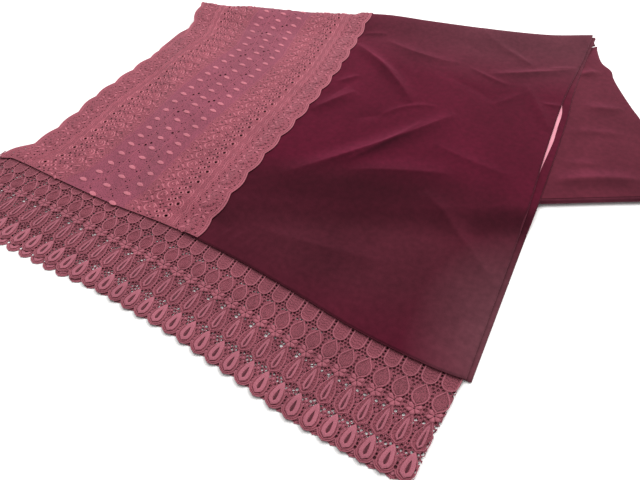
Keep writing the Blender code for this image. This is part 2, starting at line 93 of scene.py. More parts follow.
UNDER_LEFT = (  # y, x
    (0.003, 0.010), (0.045, 0.027), (0.100, 0.027), (0.190, 0.019), (0.280, 0.017),
    (0.320, 0.011), (0.345, 0.004), (0.385, 0.004), (0.400, 0.010), (0.425, 0.017),
    (0.480, -0.004),
)
UNDER_RIGHT = (  # y, x
    (-0.007, 0.6760), (0.150, 0.6770), (0.250, 0.6775), (0.385, 0.6762), (0.460, 0.6745),
    (0.510, 0.6712), (0.580, 0.6700), (0.655, 0.6705), (0.700, 0.6725),
)
UNDER_HEM_SET_BACK = 0.0015
UNDER_HEM = (  # y, width from the lining to the edge
    (0.300, 0.0118), (0.330, 0.0108), (0.363, 0.0092), (0.386, 0.0083), (0.424, 0.0092),
    (0.455, 0.0092), (0.482, 0.0124), (0.520, 0.0124),
)
UNDER_LAP = 0.0155
LINING_STARTS = 0.85    # share of the velvet's width
LINING_SHOWS = (0.3, 0.87)  # shares of the way from the hem to the fold

# Far fold

FOLD = (  # x, y where the cloth starts to bend down
    (-0.012, 0.479), (0.043, 0.490), (0.077, 0.507), (0.151, 0.530), (0.188, 0.541),
    (0.257, 0.570), (0.325, 0.598), (0.398, 0.612), (0.502, 0.635), (0.600, 0.664),
    (0.662, 0.697), (0.672, 0.702),
)
FOLD_ANGLE = math.radians(18.1)
FOLD_HOLLOW = 0.0156
FOLD_REACH = 0.075
FOLD_LIP = 0.006
FOLD_SPREAD = 0.18
FOLD_ROWS = 16
FOLD_ROUNDS = 6          # in which a point's place on the fold is found
HALF_ROUNDS = 12         # in which a point between curved edges is found
ALONG_FOLD = (math.cos(FOLD_ANGLE), math.sin(FOLD_ANGLE))
OUT_OF_FOLD = (-math.sin(FOLD_ANGLE), math.cos(FOLD_ANGLE))

# Folded tail

TAIL_SIDE = (  # y, x of the right edge
    (0.363, 0.8470), (0.510, 0.7690), (0.530, 0.7567), (0.580, 0.7302), (0.603, 0.7200),
    (0.624, 0.7135), (0.642, 0.6970), (0.683, 0.6835), (0.700, 0.6805),
)
TAIL_END = (  # x, y of the crosswise fold
    (0.264, 0.062), (0.450, 0.152), (0.600, 0.222), (0.678, 0.2645), (0.736, 0.2985),
    (0.790, 0.330), (0.847, 0.363),
)
TAIL_BACK = (  # share across, from the bend of the fold to the start of the tail
    (0.00, 0.0120), (0.90, 0.0120), (0.96, 0.0105), (0.98, 0.0090), (1.00, 0.0040),
)
TAIL_VELVET = 0.0085
TAIL_BAND = 0.0055
TAIL_AT_FOLD = 0.0060
TAIL_BAND_WIDTH = 0.33
TAIL_BAND_SLOPE = 0.12
TAIL_LACE = 0.31        # width with the lace's material
TAIL_HIDDEN = 0.62      # share across that lies under the stole, with wider columns
END_ANGLE = math.atan2(TAIL_END[-1][1] - TAIL_END[0][1], TAIL_END[-1][0] - TAIL_END[0][0])
TAIL_CLEAR = 0.0009
TAIL_DRAPE = 0.046
TAIL_SHOULDER = 0.016
HEM_LIES = 0.012
HEM_RISES = 0.032
TAIL_PROFILE = (  # outward at a layered side, outward at the crosswise fold, share of the height
    (-0.0034, -0.0050, 1.00), (-0.0016, -0.0024, 0.95), (-0.0006, -0.0009, 0.88),
    (0.0000, -0.0001, 0.78), (-0.0003, 0.0004, 0.68), (-0.0012, 0.0005, 0.62),
    (-0.0030, 0.0006, 0.57), (-0.0032, 0.0006, 0.53), (-0.0012, 0.0005, 0.48),
    (0.0000, 0.0003, 0.40), (0.0003, 0.0000, 0.28), (-0.0002, -0.0007, 0.14),
    (-0.0012, -0.0024, 0.00),
)

# Creases, as ridges (or troughs, where the height is negative)

CREASES = (  # from x, y, to x, y, sideways bow at its middle, height, half width
    (0.365, 0.145, 0.530, 0.378, -0.006, 0.0042, 0.014),
    (0.310, 0.495, 0.460, 0.375, 0.008, 0.0050, 0.012),
    (0.345, 0.532, 0.492, 0.512, -0.012, 0.0022, 0.012),
    (0.488, 0.630, 0.602, 0.560, -0.004, 0.0022, 0.011),
    (0.540, 0.505, 0.664, 0.587, -0.004, 0.0030, 0.010),
    (0.600, 0.505, 0.658, 0.402, 0.000, 0.0022, 0.011),
    (0.545, 0.205, 0.672, 0.103, 0.004, 0.0042, 0.015),
    (0.375, 0.058, 0.560, 0.088, -0.006, 0.0030, 0.018),
    (0.334, 0.288, 0.372, 0.365, 0.000, 0.0030, 0.014),
    (0.440, 0.195, 0.570, 0.250, 0.004, 0.0030, 0.020),
    (0.060, 0.150, 0.200, 0.060, 0.006, 0.0022, 0.016),
    (0.040, 0.330, 0.170, 0.300, -0.006, 0.0020, 0.016),
)
FINE_CREASES = (  # the same columns
    (0.508, 0.510, 0.578, 0.488, -0.003, 0.0016, 0.0060),
    (0.308, 0.528, 0.348, 0.546, 0.002, 0.0012, 0.0060),
    (0.430, 0.318, 0.500, 0.383, 0.014, 0.0010, 0.0060),
    (0.565, 0.422, 0.604, 0.480, -0.002, 0.0007, 0.0080),
    (0.634, 0.463, 0.664, 0.472, 0.000, 0.0012, 0.0050),
    (0.400, 0.498, 0.436, 0.456, 0.003, -0.0007, 0.0080),
    (0.458, 0.478, 0.584, 0.428, 0.004, -0.0008, 0.0120),
    (0.340, 0.310, 0.362, 0.404, 0.002, -0.0007, 0.0090),
    (0.334, 0.372, 0.358, 0.408, 0.000, 0.0013, 0.0060),
    (0.432, 0.212, 0.492, 0.338, -0.003, 0.0012, 0.0050),
    (0.596, 0.160, 0.660, 0.128, 0.000, -0.0007, 0.0080),
    (0.548, 0.592, 0.602, 0.556, 0.002, 0.0012, 0.0050),
    (0.622, 0.566, 0.662, 0.590, 0.000, 0.0010, 0.0050),
    (0.352, 0.470, 0.412, 0.428, 0.003, 0.0010, 0.0045),
    (0.505, 0.098, 0.560, 0.028, 0.002, 0.0009, 0.0070),
    (0.585, 0.075, 0.640, 0.018, -0.002, 0.0010, 0.0080),
    (0.358, 0.018, 0.366, 0.052, 0.000, 0.0010, 0.0035),
    (0.374, 0.016, 0.380, 0.046, 0.001, 0.0009, 0.0035),
    (0.390, 0.020, 0.398, 0.044, 0.000, 0.0007, 0.0035),
    (0.520, 0.300, 0.640, 0.282, -0.004, 0.0010, 0.0110),
    (0.400, 0.300, 0.442, 0.332, 0.002, -0.0006, 0.0080),
    (0.455, 0.590, 0.520, 0.556, 0.003, -0.0007, 0.0090),
    (0.100, 0.430, 0.230, 0.470, -0.005, 0.0013, 0.0140),
    (0.150, 0.215, 0.270, 0.180, 0.004, 0.0012, 0.0130),
    (0.060, 0.235, 0.130, 0.255, 0.003, 0.0010, 0.0110),
    (0.230, 0.360, 0.300, 0.330, -0.003, 0.0010, 0.0120),
)
CREASE_LINE = 0.40       # share of a crease's height in its sharp line
CREASE_SHARP = 0.30      # half width of that line, as a share of the crease's
CREASE_TAPER = 0.7       # power with which it dies away towards its ends
TAIL_CREASES = (  # the same columns
    (0.685, 0.308, 0.790, 0.366, 0.004, 0.0034, 0.014),
    (0.670, 0.584, 0.694, 0.610, 0.000, 0.0026, 0.009),
    (0.690, 0.500, 0.745, 0.520, -0.004, 0.0022, 0.012),
    (0.676, 0.420, 0.760, 0.452, 0.006, 0.0010, 0.009),
    (0.690, 0.350, 0.735, 0.372, 0.002, 0.0010, 0.007),
)

# Teardrop lace trim

MOTIF = 0.0198          # width of a repeat
LAST_MOTIF = 0.6603
TRIM_TAB = 0.004
TRIM_LEFT = -0.0015
TRIM_RIGHT = 0.6690
UNDER_MOTIF = 0.0201
UNDER_TRIM_SHORT = 0.045   # share of its depth that it is drawn up under the upper one
FLOWER_DEPTH = 0.0486
TRIM_TOP_LINE = (  # x, y of the top half's motifs' upper ends
    (0.000, 0.0080), (0.050, 0.0087), (0.123, 0.0152), (0.200, 0.0137), (0.260, 0.0124),
    (0.330, 0.0107), (0.400, 0.0067), (0.464, 0.0002), (0.503, -0.0048), (0.544, -0.0083),
    (0.585, -0.0103), (0.625, -0.0103), (0.660, -0.0073), (0.672, -0.0065),
)
TRIM_LEAN = ((0.000, 0.000), (0.417, -0.010), (0.557, -0.040), (0.672, -0.080))  # x, dx per depth
UNDER_TRIM_CORNER = 0.0065
UNDER_TRIM_CORNER_WIDTH = 0.07
TRIM_TUCKED = 0.0021
TRIM_LYING = 0.0016
TRIM_DROP = 0.020
LACE_WOBBLE = 0.0004
LACE_WAVES = np.array([47, 60])  # of the wobble, radians a metre across and along
DEPTH_WAVE = (0.004, 61)  # share of the depth, radians a metre
UNDER_TRIM_HEIGHT = 0.62  # share of its height that the pressed lower trim keeps
LIES_ON_SURFACE = 0.0001
UNDER_BAND_ENDS = 0.985

# Raised work: materials' places, and blobs as (place along, share of the width)

# Slots of lit and shaded copies of one thread: ground in painted shade, cords, loops and shine painted
# lighter, shade for painted shade in holes, slits and gaps
GROUND_SLOT, CORD_SLOT, LOOP_SLOT, SHINE_SLOT, SHADE_SLOT, FIELD_SLOT = range(6)
HOLE_SIDES = 7
HOLE_CLEAR = 0.0012     # free of other points round a hole
HOLE_SHARE = 0.95       # of a hole's size, within which a triangle is cut away
SAME_POINT = 1e-7
BATCH = 2000            # triangles tested at once
BLOB_SIDES = 6
OVAL = ((-0.5, 0.12), (-0.32, 0.72), (0.0, 1.0), (0.32, 0.72), (0.5, 0.12))
PEAR = ((-0.5, 0.14), (-0.22, 0.50), (0.12, 0.95), (0.36, 0.85), (0.5, 0.25))

# Camera, in the cloth frame

CAMERA_PLACE = (0.646, -0.257, 0.459)
CAMERA_TURN = (40.0, 0.0, 28.5)  # degrees
CAMERA_LENS = 28.125
CAMERA_SENSOR = 36.0


def mix(start, end, share):
    return start + (end - start) * share


def ease(share):
    """Smooth step from 0 to 1."""
    share = np.clip(share, 0.0, 1.0)
    return share * share * (3 - 2 * share)


def curve(table, at):
    """Values of a smooth curve through a table of pairs, level past its ends."""
    keys, values = np.array(table).T
    at = np.clip(at, keys[0], keys[-1])
    place = np.clip(np.searchsorted(keys, at, side="right") - 1, 0, len(keys) - 2)
    order = np.arange(len(keys))
    before, after = np.maximum(order - 1, 0), np.minimum(order + 1, len(keys) - 1)
    slopes = (values[after] - values[before]) / (keys[after] - keys[before])
    span = keys[place + 1] - keys[place]
    t = (at - keys[place]) / span
    bend = t * (1 - t) * span
    level = mix(values[place], values[place + 1], ease(t))
    return level + bend * ((1 - t) * slopes[place] - t * slopes[place + 1])


def side_of(x, y, start, end):
    """Distance of points to the left of the line from start to end."""
    run = (end[0] - start[0], end[1] - start[1])
    return (run[0] * (y - start[1]) - run[1] * (x - start[0])) / math.hypot(*run)


def ridges(creases, x, y):
    """Height that the creases of a table add at points."""
    height = np.zeros_like(x)
    for x0, y0, x1, y1, bow, rise, width in creases:
        length = math.hypot(x1 - x0, y1 - y0)
        along = ((x - x0) * (x1 - x0) + (y - y0) * (y1 - y0)) / length ** 2
        inside = np.clip(along, 0, 1)
        off = side_of(x, y, (x0, y0), (x1, y1)) - 4 * bow * inside * (1 - inside)
        taper = np.sin(np.pi * inside) ** CREASE_TAPER
        profile = (1 - CREASE_LINE) * np.exp(-(off / width) ** 2)
        profile += CREASE_LINE * np.exp(-np.abs(off) / (CREASE_SHARP * width))
        height += np.where(inside == along, rise * taper * profile, 0)
    return height


# Shape of the stack of layers

def fold_y(x):
    return curve(FOLD, x)


def from_fold(x, y):
    """Distance from the fold, measured square to it."""
    return (fold_y(x) - y) * math.cos(FOLD_ANGLE)


def tail_start(u):
    x = mix(FOLD[0][0], FOLD[-1][0], u)
    back = curve(TAIL_BACK, u)
    over = FOLD_SPREAD * (math.pi * FOLD_HOLLOW / 2 + back)
    return (x + ALONG_FOLD[0] * over - OUT_OF_FOLD[0] * back,
            fold_y(x) + ALONG_FOLD[1] * over - OUT_OF_FOLD[1] * back)


def tail_end(u):
    x = mix(TAIL_END[0][0], TAIL_END[-1][0], u)
    return x, curve(TAIL_END, x)


def tail_left(v):
    start, end = tail_start(0.0), tail_end(0.0)
    return mix(start[0], end[0], v), mix(start[1], end[1], v)


def tail_right(v):
    y = mix(tail_start(1.0)[1], tail_end(1.0)[1], v)
    return curve(TAIL_SIDE, y), y


TAIL_LEFT = (tail_left(0.0), tail_left(1.0))


def tail_height(x, y):
    """Height of the tail before its edges are rounded."""
    across = side_of(x, y, *TAIL_LEFT)
    velvet = ease((across - TAIL_BAND_WIDTH) / TAIL_BAND_SLOPE + 0.5)
    body = mix(TAIL_BAND, TAIL_VELVET, velvet)
    near_fold = ease(from_fold(x, y) / FOLD_REACH)
    return mix(np.minimum(body, TAIL_AT_FOLD), body, near_fold)


def under_level(x, y):
    """Underside of the lower half: on the surface, or over the tail."""
    beyond_end = (y - curve(TAIL_END, x)) * math.cos(END_ANGLE)
    beyond_side = side_of(x, y, *TAIL_LEFT)
    up = ease((beyond_end + TAIL_SHOULDER + TAIL_DRAPE) / TAIL_DRAPE)
    up = up * ease((beyond_side + TAIL_SHOULDER + TAIL_DRAPE) / TAIL_DRAPE)
    up = up * ease((y - under_hem(x) - HEM_LIES) / HEM_RISES)
    flat = tail_height(x, y) + TAIL_CLEAR
    hollow = ease(1 - from_fold(x, y) / FOLD_REACH)
    return up * mix(flat, FOLD_HOLLOW, hollow)


def scallops(y):
    return np.abs(np.sin(np.pi * y / SCALLOP))


def band_edge(y):
    return band_tips(y) - SCALLOP_DEPTH * (1 - scallops(y))


def scalloped_left(y):
    return top_left(y) + SCALLOP_DEPTH * (0.5 - scallops(y))


def velvet_left(y):
    return band_tips(y) - BAND_LAP


def under_velvet_left(y):
    return band_tips(y) - UNDER_LAP


def under_band_right(y):
    return under_velvet_left(y) - SEAM


def top_right(y):
    return curve(TOP_RIGHT, y)


def top_left(y):
    return curve(TOP_LEFT, y)


def under_left(y):
    return curve(UNDER_LEFT, y)


def band_tips(y):
    return curve(BAND_EDGE, y)


def near_hem(x):
    return curve(NEAR_HEM, x)


def under_hem(x):
    return near_hem(x) + UNDER_HEM_SET_BACK


def creased(x, y):
    return ridges(CREASES + FINE_CREASES, x, y)


def velvet_level(x, y):
    return under_level(x, y) + VELVET_RISE + creased(x, y)


def band_level(x, y):
    """Underside of the top lace band: low on the lower one, up beside and on the velvet."""
    past_velvet = x - velvet_left(y)
    past_hem = y - near_hem(x)
    lap = VELVET_RISE + PLY + LAP
    lying = mix(VELVET_RISE, BAND_RISE, ease((past_hem - BAND_STAYS_UP) / BAND_COMES_DOWN))
    rise = mix(lying, lap, ease((past_velvet + BAND_SLOPE) / (BAND_SLOPE - BAND_SLOPE_ENDS)))
    return under_level(x, y) + rise + creased(x, y)


class Layer:
    """A sheet of cloth: its underside's level, thickness and level below the far fold."""

    def __init__(self, level, thick, lip):
        self.level = level
        self.thick = thick
        self.lip = lip

    def radius(self, x, y):
        return (self.level(x, y) + self.thick - self.lip(x, y)) / 2

    def place(self, x, y, height):
        """Points of the cloth: x and y before the far fold turns it down, height above its underside."""
        beyond = np.zeros_like(x)
        for _ in range(FOLD_ROUNDS):
            beyond = (y - fold_y(x - OUT_OF_FOLD[0] * beyond)) / OUT_OF_FOLD[1]
            beyond = np.maximum(beyond, 0)
        start_x, start_y = x - OUT_OF_FOLD[0] * beyond, y - OUT_OF_FOLD[1] * beyond
        top = self.level(start_x, start_y) + self.thick
        radius = (top - self.lip(start_x, start_y)) / 2
        turn = np.minimum(beyond / radius, math.pi)
        run = beyond - turn * radius
        ring = radius - self.thick + height
        out = ring * np.sin(turn) - run
        along = FOLD_SPREAD * beyond
        return np.stack([start_x + OUT_OF_FOLD[0] * out + ALONG_FOLD[0] * along,
                         start_y + OUT_OF_FOLD[1] * out + ALONG_FOLD[1] * along,
                         top - radius + ring * np.cos(turn)], axis=-1)

    def past_fold(self, x, y, share):
        """Plan point that lies a share of the way from the fold, at x and y, to the sheet's far end."""
        reach = share * (math.pi * self.radius(x, y) + FOLD_LIP)
        return x + OUT_OF_FOLD[0] * reach, y + OUT_OF_FOLD[1] * reach


def lies_on_lace(x, y):
    """Below the fold the velvet lies on the lace that laps over its left edge."""
    return np.where(x < velvet_left(y) + LACE_BELOW, LACE + LAP, 0.0)


VELVET_TOP = Layer(velvet_level, PLY, lies_on_lace)
VELVET_UNDER = Layer(under_level, PLY, lambda x, y: VELVET_RISE + lies_on_lace(x, y))
LINING = Layer(lambda x, y: under_level(x, y) + PLY + SATIN_GAP, SATIN, lambda x, y: 0 * x)
BAND_TOP = Layer(band_level, LACE, lambda x, y: 0 * x)
BAND_UNDER = Layer(under_level, LACE, lambda x, y: 0 * x)


def half_point(left, right, hem, u, v):
    """Plan points of a half: u across it, v along it from its hem to the fold."""
    x = np.zeros_like(u)
    for _ in range(HALF_ROUNDS):
        y = mix(hem(x), fold_y(x), v)
        x = mix(left(y), right(y), u)
    return x, y


# Materials: an object's own coordinates are metres

PAINTED_LIGHT_WAY = (-0.477, 0.879, 0.0)  # the way painted light falls from: cloth tilted against it is painted in shade
PAINTED_SHADE_GAIN = 1.3          # how fast the painted light and shade change with the tilt
PAINTED_SHADE_LEVEL = 0.5         # place in the painted light and shade where the cloth is level
VELVET_PAINTED_SHADING = (  # tilt towards the light's way, colour: painted shade low, painted light high, and a painted sheen at the lowest stop for steep rims
    (0.00, (0.100, 0.0160, 0.0300)), (0.06, (0.032, 0.0026, 0.0080)),
    (0.50, (0.076, 0.0047, 0.0170)), (0.95, (0.140, 0.0125, 0.0370)),
)
TAIL_PAINTED_SHADING = (  # the same columns, painted light and shade of the tail
    (0.00, (0.100, 0.0200, 0.0340)), (0.06, (0.038, 0.0060, 0.0110)),
    (0.50, (0.092, 0.0145, 0.0265)), (0.95, (0.155, 0.0225, 0.0480)),
)
VELVET_PAINTED_PATCHES = (  # middle x and y, half length and width, turn in degrees, painted colour there: sheen by the far fold and the near right corner, shade on the slope and by the near hem
    ((0.62, 0.68), (0.42, 0.19), 18, (0.099, 0.0270, 0.0385)),
    ((0.53, 0.085), (0.42, 0.15), 14, (0.058, 0.0102, 0.0175)),
    ((0.45, 0.160), (0.25, 0.062), 22, (0.028, 0.0026, 0.0068)),
    ((0.700, 0.05), (0.105, 0.17), 0, (0.118, 0.0400, 0.0520)),
)
PATCH_SHADES = ((0.00, (0, 0, 0)), (0.75, (0.88, 0.88, 0.88)))  # place, share of a patch's colour
CLOUD_SHADES = ((0.32, (0.84, 0.82, 0.84)), (0.68, (1.14, 1.14, 1.14)))
FLECK_SHADES = ((0.30, (0.84, 0.84, 0.84)), (0.75, (1.10, 1.08, 1.08)))
WORN_SHADES = ((0.30, (0.86, 0.84, 0.85)), (0.72, (1.08, 1.08, 1.08)))
# Net of the ground: its threads lighter, its openings painted in shade as seen through them
NET_SHADES = ((0.08, (1.12, 1.14, 1.14)), (0.34, (0.58, 0.54, 0.56)))
# Satin along its small folds: painted shade in their hollows, painted sheen on their crests
SATIN_SHADES = ((0.35, (0.47, 0.130, 0.190)), (0.70, (0.62, 0.215, 0.280)))
SATIN_COLOUR = (0.52, 0.155, 0.215)
THREAD_PLACES = (0.30, 0.62)  # places of a thread's shaded and lit colour in its noise
NO_SHEEN = (0.0, 0.5, (1, 1, 1))  # weight, roughness, tint
VELVET_SHEEN = (0.40, 0.36, (1.0, 0.42, 0.54))
THREAD_SHEEN = (0.25, 0.5, (1.0, 0.75, 0.8))
# Painted shade: dark thread for the walls of holes, rims, slits and gaps where only shade falls
SHADE_COLOURS = ((0.050, 0.0090, 0.0160), (0.085, 0.0180, 0.0270))
TRIM_COLOURS = (  # shaded and lit thread, for the ground, cords, loops and bright stitches: copies of one thread, the ground painted in shade, the cords, loops and stitches painted lighter as lit and shining
    ((0.140, 0.030, 0.044), (0.240, 0.057, 0.080)), ((0.245, 0.060, 0.085), (0.370, 0.108, 0.142)),
    ((0.290, 0.082, 0.112), (0.395, 0.122, 0.162)), ((0.350, 0.110, 0.140), (0.480, 0.170, 0.215)),
)
BAND_COLOURS = (  # the same columns
    ((0.170, 0.034, 0.051), (0.285, 0.063, 0.090)), ((0.300, 0.072, 0.100), (0.450, 0.125, 0.165)),
    ((0.370, 0.095, 0.128), (0.520, 0.158, 0.200)), ((0.370, 0.098, 0.132), (0.510, 0.158, 0.200)),
)
FIELD_COLOURS = ((0.150, 0.028, 0.050), (0.262, 0.054, 0.090))
TRIM_NET = 620.0        # meshes a metre
BAND_NET = 430.0


def new_material(name, colour, roughness, specular, sheen=NO_SHEEN):
    """A procedural material, its node tree and its shader."""
    material = bpy.data.materials.new(name)
    material.use_nodes = True
    shader = material.node_tree.nodes["Principled BSDF"]
    weight, spread, tint = sheen
    shader.inputs["Base Color"].default_value = (*colour, 1)
    shader.inputs["Roughness"].default_value = roughness
    shader.inputs["Specular IOR Level"].default_value = specular
    shader.inputs["Sheen Weight"].default_value = weight
    shader.inputs["Sheen Roughness"].default_value = spread
    shader.inputs["Sheen Tint"].default_value = (*tint, 1)
    return material, material.node_tree, shader


def add_node(tree, kind, values, links, **settings):
    """A node with its settings, and with values and links for its inputs."""
    node = tree.nodes.new(kind)
    for name, value in settings.items():
        setattr(node, name, value)
    for name, value in values.items():
        node.inputs[name].default_value = value
    for name, output in links.items():
        tree.links.new(output, node.inputs[name])
    return node


def place_node(tree, scale=(1, 1, 1), turn=0.0, origin=(0, 0, 0), kind="POINT"):
    place = tree.nodes.new("ShaderNodeTexCoord").outputs["Object"]
    values = {"Location": origin, "Rotation": (0, 0, turn), "Scale": scale}
    node = add_node(tree, "ShaderNodeMapping", values, {"Vector": place}, vector_type=kind)
    return node.outputs["Vector"]


def noise_node(tree, place, scale, detail=2.0, roughness=0.5, distortion=0.0):
    values = {"Scale": scale, "Detail": detail, "Roughness": roughness, "Distortion": distortion}
    return add_node(tree, "ShaderNodeTexNoise", values, {"Vector": place}).outputs["Fac"]


def wave_node(tree, place, scale, direction, distortion):
    values = {"Scale": scale, "Distortion": distortion, "Detail": 1.0}
    node = add_node(tree, "ShaderNodeTexWave", values, {"Vector": place}, bands_direction=direction)
    return node.outputs["Fac"]


def ramp_node(tree, factor, stops):
    """Colour ramp: stops are (place, colour)."""
    node = add_node(tree, "ShaderNodeValToRGB", {}, {"Fac": factor})
    elements = node.color_ramp.elements
    for element, (place, colour) in zip(elements, stops):
        element.position = place
        element.color = (*colour, 1)
    for place, colour in stops[2:]:
        elements.new(place).color = (*colour, 1)
    return node.outputs["Color"]


def shaded(tree, colour, factor, shades):
    """The colour times a ramp's."""
    links = {"A": colour, "B": ramp_node(tree, factor, shades)}
    node = add_node(tree, "ShaderNodeMix", {"Factor": 1.0}, links, data_type="RGBA",
                    blend_type="MULTIPLY")
    return node.outputs["Result"]


def painted_patch(tree, colour, middle, size, turn, target):
    """The colour, turned into a fixed one in a soft oval round a point of the cloth frame: a patch of
    painted sheen or painted shade, as its colour is lighter or darker.
    """
    origin = (middle[0] - CENTRE[0], middle[1] - CENTRE[1], 0)
    place = place_node(tree, (*size, 1), math.radians(turn), origin, "TEXTURE")
    oval = add_node(tree, "ShaderNodeTexGradient", {}, {"Vector": place}, gradient_type="SPHERICAL")
    links = {"Factor": ramp_node(tree, oval.outputs["Fac"], PATCH_SHADES), "A": colour}
    node = add_node(tree, "ShaderNodeMix", {"B": (*target, 1)}, links, data_type="RGBA")
    return node.outputs["Result"]


def add_bumps(tree, shader, bumps):
    """Chain of bumps: each is (height output, strength, distance in metres)."""
    normal = None
    for height, strength, distance in bumps:
        links = {"Height": height} if normal is None else {"Height": height, "Normal": normal}
        values = {"Strength": strength, "Distance": distance}
        normal = add_node(tree, "ShaderNodeBump", values, links).outputs["Normal"]
    tree.links.new(normal, shader.inputs["Normal"])


def velvet_material(name, colours, painted_patches):
    """Short dense pile, with light and shade painted by its tilt: darker where it tilts towards the near
    side, lighter where it tilts towards the light, and patches of painted sheen and painted shade.
    """
    material, tree, shader = new_material(name, colours[2][1], 0.9, 0.05, VELVET_SHEEN)
    normal = tree.nodes.new("ShaderNodeTexCoord").outputs["Normal"]
    # Painted light and shade: the colour follows how far the normal turns towards the light's way.
    tilt = add_node(tree, "ShaderNodeVectorMath", {1: PAINTED_LIGHT_WAY}, {0: normal}, operation="DOT_PRODUCT")
    lies = add_node(tree, "ShaderNodeMath", {1: PAINTED_SHADE_GAIN, 2: PAINTED_SHADE_LEVEL}, {0: tilt.outputs["Value"]},
                    operation="MULTIPLY_ADD")
    colour = ramp_node(tree, lies.outputs["Value"], colours)
    # Patches of painted sheen and painted shade.
    for middle, size, turn, target in painted_patches:
        colour = painted_patch(tree, colour, middle, size, turn, target)
    clouds = noise_node(tree, place_node(tree, (1, 0.6, 1), 0.5), 9.0, 3.0, 0.55, 0.6)
    mottle = noise_node(tree, place_node(tree), 140.0)
    colour = shaded(tree, shaded(tree, colour, clouds, CLOUD_SHADES), mottle, FLECK_SHADES)
    tree.links.new(colour, shader.inputs["Base Color"])
    pile = noise_node(tree, place_node(tree), 1500.0, detail=1.0)
    brushed = noise_node(tree, place_node(tree, (1, 0.25, 1), 0.4), 160.0)
    add_bumps(tree, shader, ((pile, 0.5, 0.0004), (brushed, 0.25, 0.0008)))
    return material


def lace_material(name, dark, light, net):
    """Twisted thread, worn lighter in places; net is the mesh count of a ground of fine net, or 0."""
    material, tree, shader = new_material(name, light, 0.8, 0.2, THREAD_SHEEN)
    worn = noise_node(tree, place_node(tree), 22.0, 3.0, 0.6)
    threads = noise_node(tree, place_node(tree, (1, 1.6, 1), 0.3), 760.0, 2.0, 0.6)
    colour = ramp_node(tree, threads, tuple(zip(THREAD_PLACES, (dark, light))))
    colour = shaded(tree, colour, worn, WORN_SHADES)
    bumps = [(threads, 0.6, 0.0005)]
    if net:
        # The net's openings are painted darker: painted shade seen through them.
        links = {"Vector": place_node(tree, (1, 0.8, 0.2))}
        mesh = add_node(tree, "ShaderNodeTexVoronoi", {"Scale": net}, links, feature="DISTANCE_TO_EDGE")
        colour = shaded(tree, colour, mesh.outputs["Distance"], NET_SHADES)
    else:
        twist = wave_node(tree, place_node(tree, turn=0.8), 330.0, "DIAGONAL", 2.0)
        bumps.append((twist, 0.35, 0.0003))
    tree.links.new(colour, shader.inputs["Base Color"])
    add_bumps(tree, shader, bumps)
    return material


def satin_material():
    material, tree, shader = new_material("satin", SATIN_COLOUR, 0.5, 0.25)
    weave = wave_node(tree, place_node(tree, turn=0.78), 900.0, "X", 1.0)
    folds = noise_node(tree, place_node(tree, (1, 0.4, 1)), 60.0)
    # The colour follows the folds' noise, which also raises them: painted shade in hollows, painted sheen
    # on crests.
    tree.links.new(ramp_node(tree, folds, SATIN_SHADES), shader.inputs["Base Color"])
    add_bumps(tree, shader, ((weave, 0.2, 0.0001), (folds, 0.3, 0.0010)))
    return material


def lace_materials(name, colours, net):
    """Materials of a lace in the order of the slots of its raised work: lit and shaded copies of one
    thread, the last one painted shade.
    """
    parts = ("ground", "cord", "loop", "stitch")
    made = [lace_material(f"{name}_{part}", dark, light, net if part == "ground" else 0)
            for part, (dark, light) in zip(parts, colours)]
    return made + [lace_material(f"{name}_shade", *SHADE_COLOURS, 0)]


VELVET = velvet_material("velvet_pile", VELVET_PAINTED_SHADING, VELVET_PAINTED_PATCHES)
TAIL_VELVET_CLOTH = velvet_material("velvet_tail_pile", TAIL_PAINTED_SHADING, ())
TRIM_MATERIALS = lace_materials("trim", TRIM_COLOURS, TRIM_NET)
BAND_MATERIALS = lace_materials("band", BAND_COLOURS, BAND_NET)
BAND_MATERIALS.append(lace_material("band_field", *FIELD_COLOURS, BAND_NET))
SATIN_CLOTH = satin_material()


# Meshes

SHARP_ANGLE = math.radians(55)
TINY = 1e-12
VELVET_ROLL = 0.0007    # how far the rims are rounded outward
UNDER_ROLL = 0.0008
SATIN_ROLL = 0.0003


def add_object(name, points, faces, materials, slots=None):
    moved = np.asarray(points) - (*CENTRE, 0)
    mesh = bpy.data.meshes.new(name)
    mesh.from_pydata(moved.tolist(), [], faces)
    for material in materials:
        mesh.materials.append(material)
    if slots is not None:
        mesh.polygons.foreach_set("material_index", slots)
    mesh.shade_smooth()
    mesh.set_sharp_from_angle(angle=SHARP_ANGLE)
    piece = bpy.data.objects.new(name, mesh)
    bpy.context.scene.collection.objects.link(piece)
    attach(piece, "root")
    return piece


def rim_of(faces):
    """Directed edges that only one face has."""
    edges = {(a, b) for face in faces for a, b in zip(face, face[1:] + face[:1])}
    return [(a, b) for a, b in edges if (b, a) not in edges]


def without_pinches(faces):
    """The faces, without those round a point where two stretches of rim touch."""
    while True:
        starts, times = np.unique([start for start, _ in rim_of(faces)], return_counts=True)
        pinched = set(starts[times > 1].tolist())
        if not pinched:
            return faces
        faces = [face for face in faces if not pinched & set(face)]


def closed_wall(outer, inner, faces, roll=0.0):
    """Points and faces of a wall between two sheets; roll rounds its rim outward."""
    count = len(outer)
    back = [[count + i for i in reversed(face)] for face in faces]
    rim = rim_of(faces)
    if roll == 0:
        sides = [[b, a, count + a, count + b] for a, b in rim]
        return np.concatenate([outer, inner]), faces + back + sides
    follows = dict(rim)
    leads = {b: a for a, b in rim}
    ring = list(follows)
    run = outer[[follows[i] for i in ring]] - outer[[leads[i] for i in ring]]
    up = outer[ring] - inner[ring]
    outward = np.cross(run, up)
    outward /= np.maximum(np.linalg.norm(outward, axis=1, keepdims=True), TINY)
    middle = (outer[ring] + inner[ring]) / 2 + outward * roll
    place = {i: 2 * count + k for k, i in enumerate(ring)}
    upper = [[b, a, place[a], place[b]] for a, b in rim]
    lower = [[place[b], place[a], count + a, count + b] for a, b in rim]
    return np.concatenate([outer, inner, middle]), faces + back + upper + lower


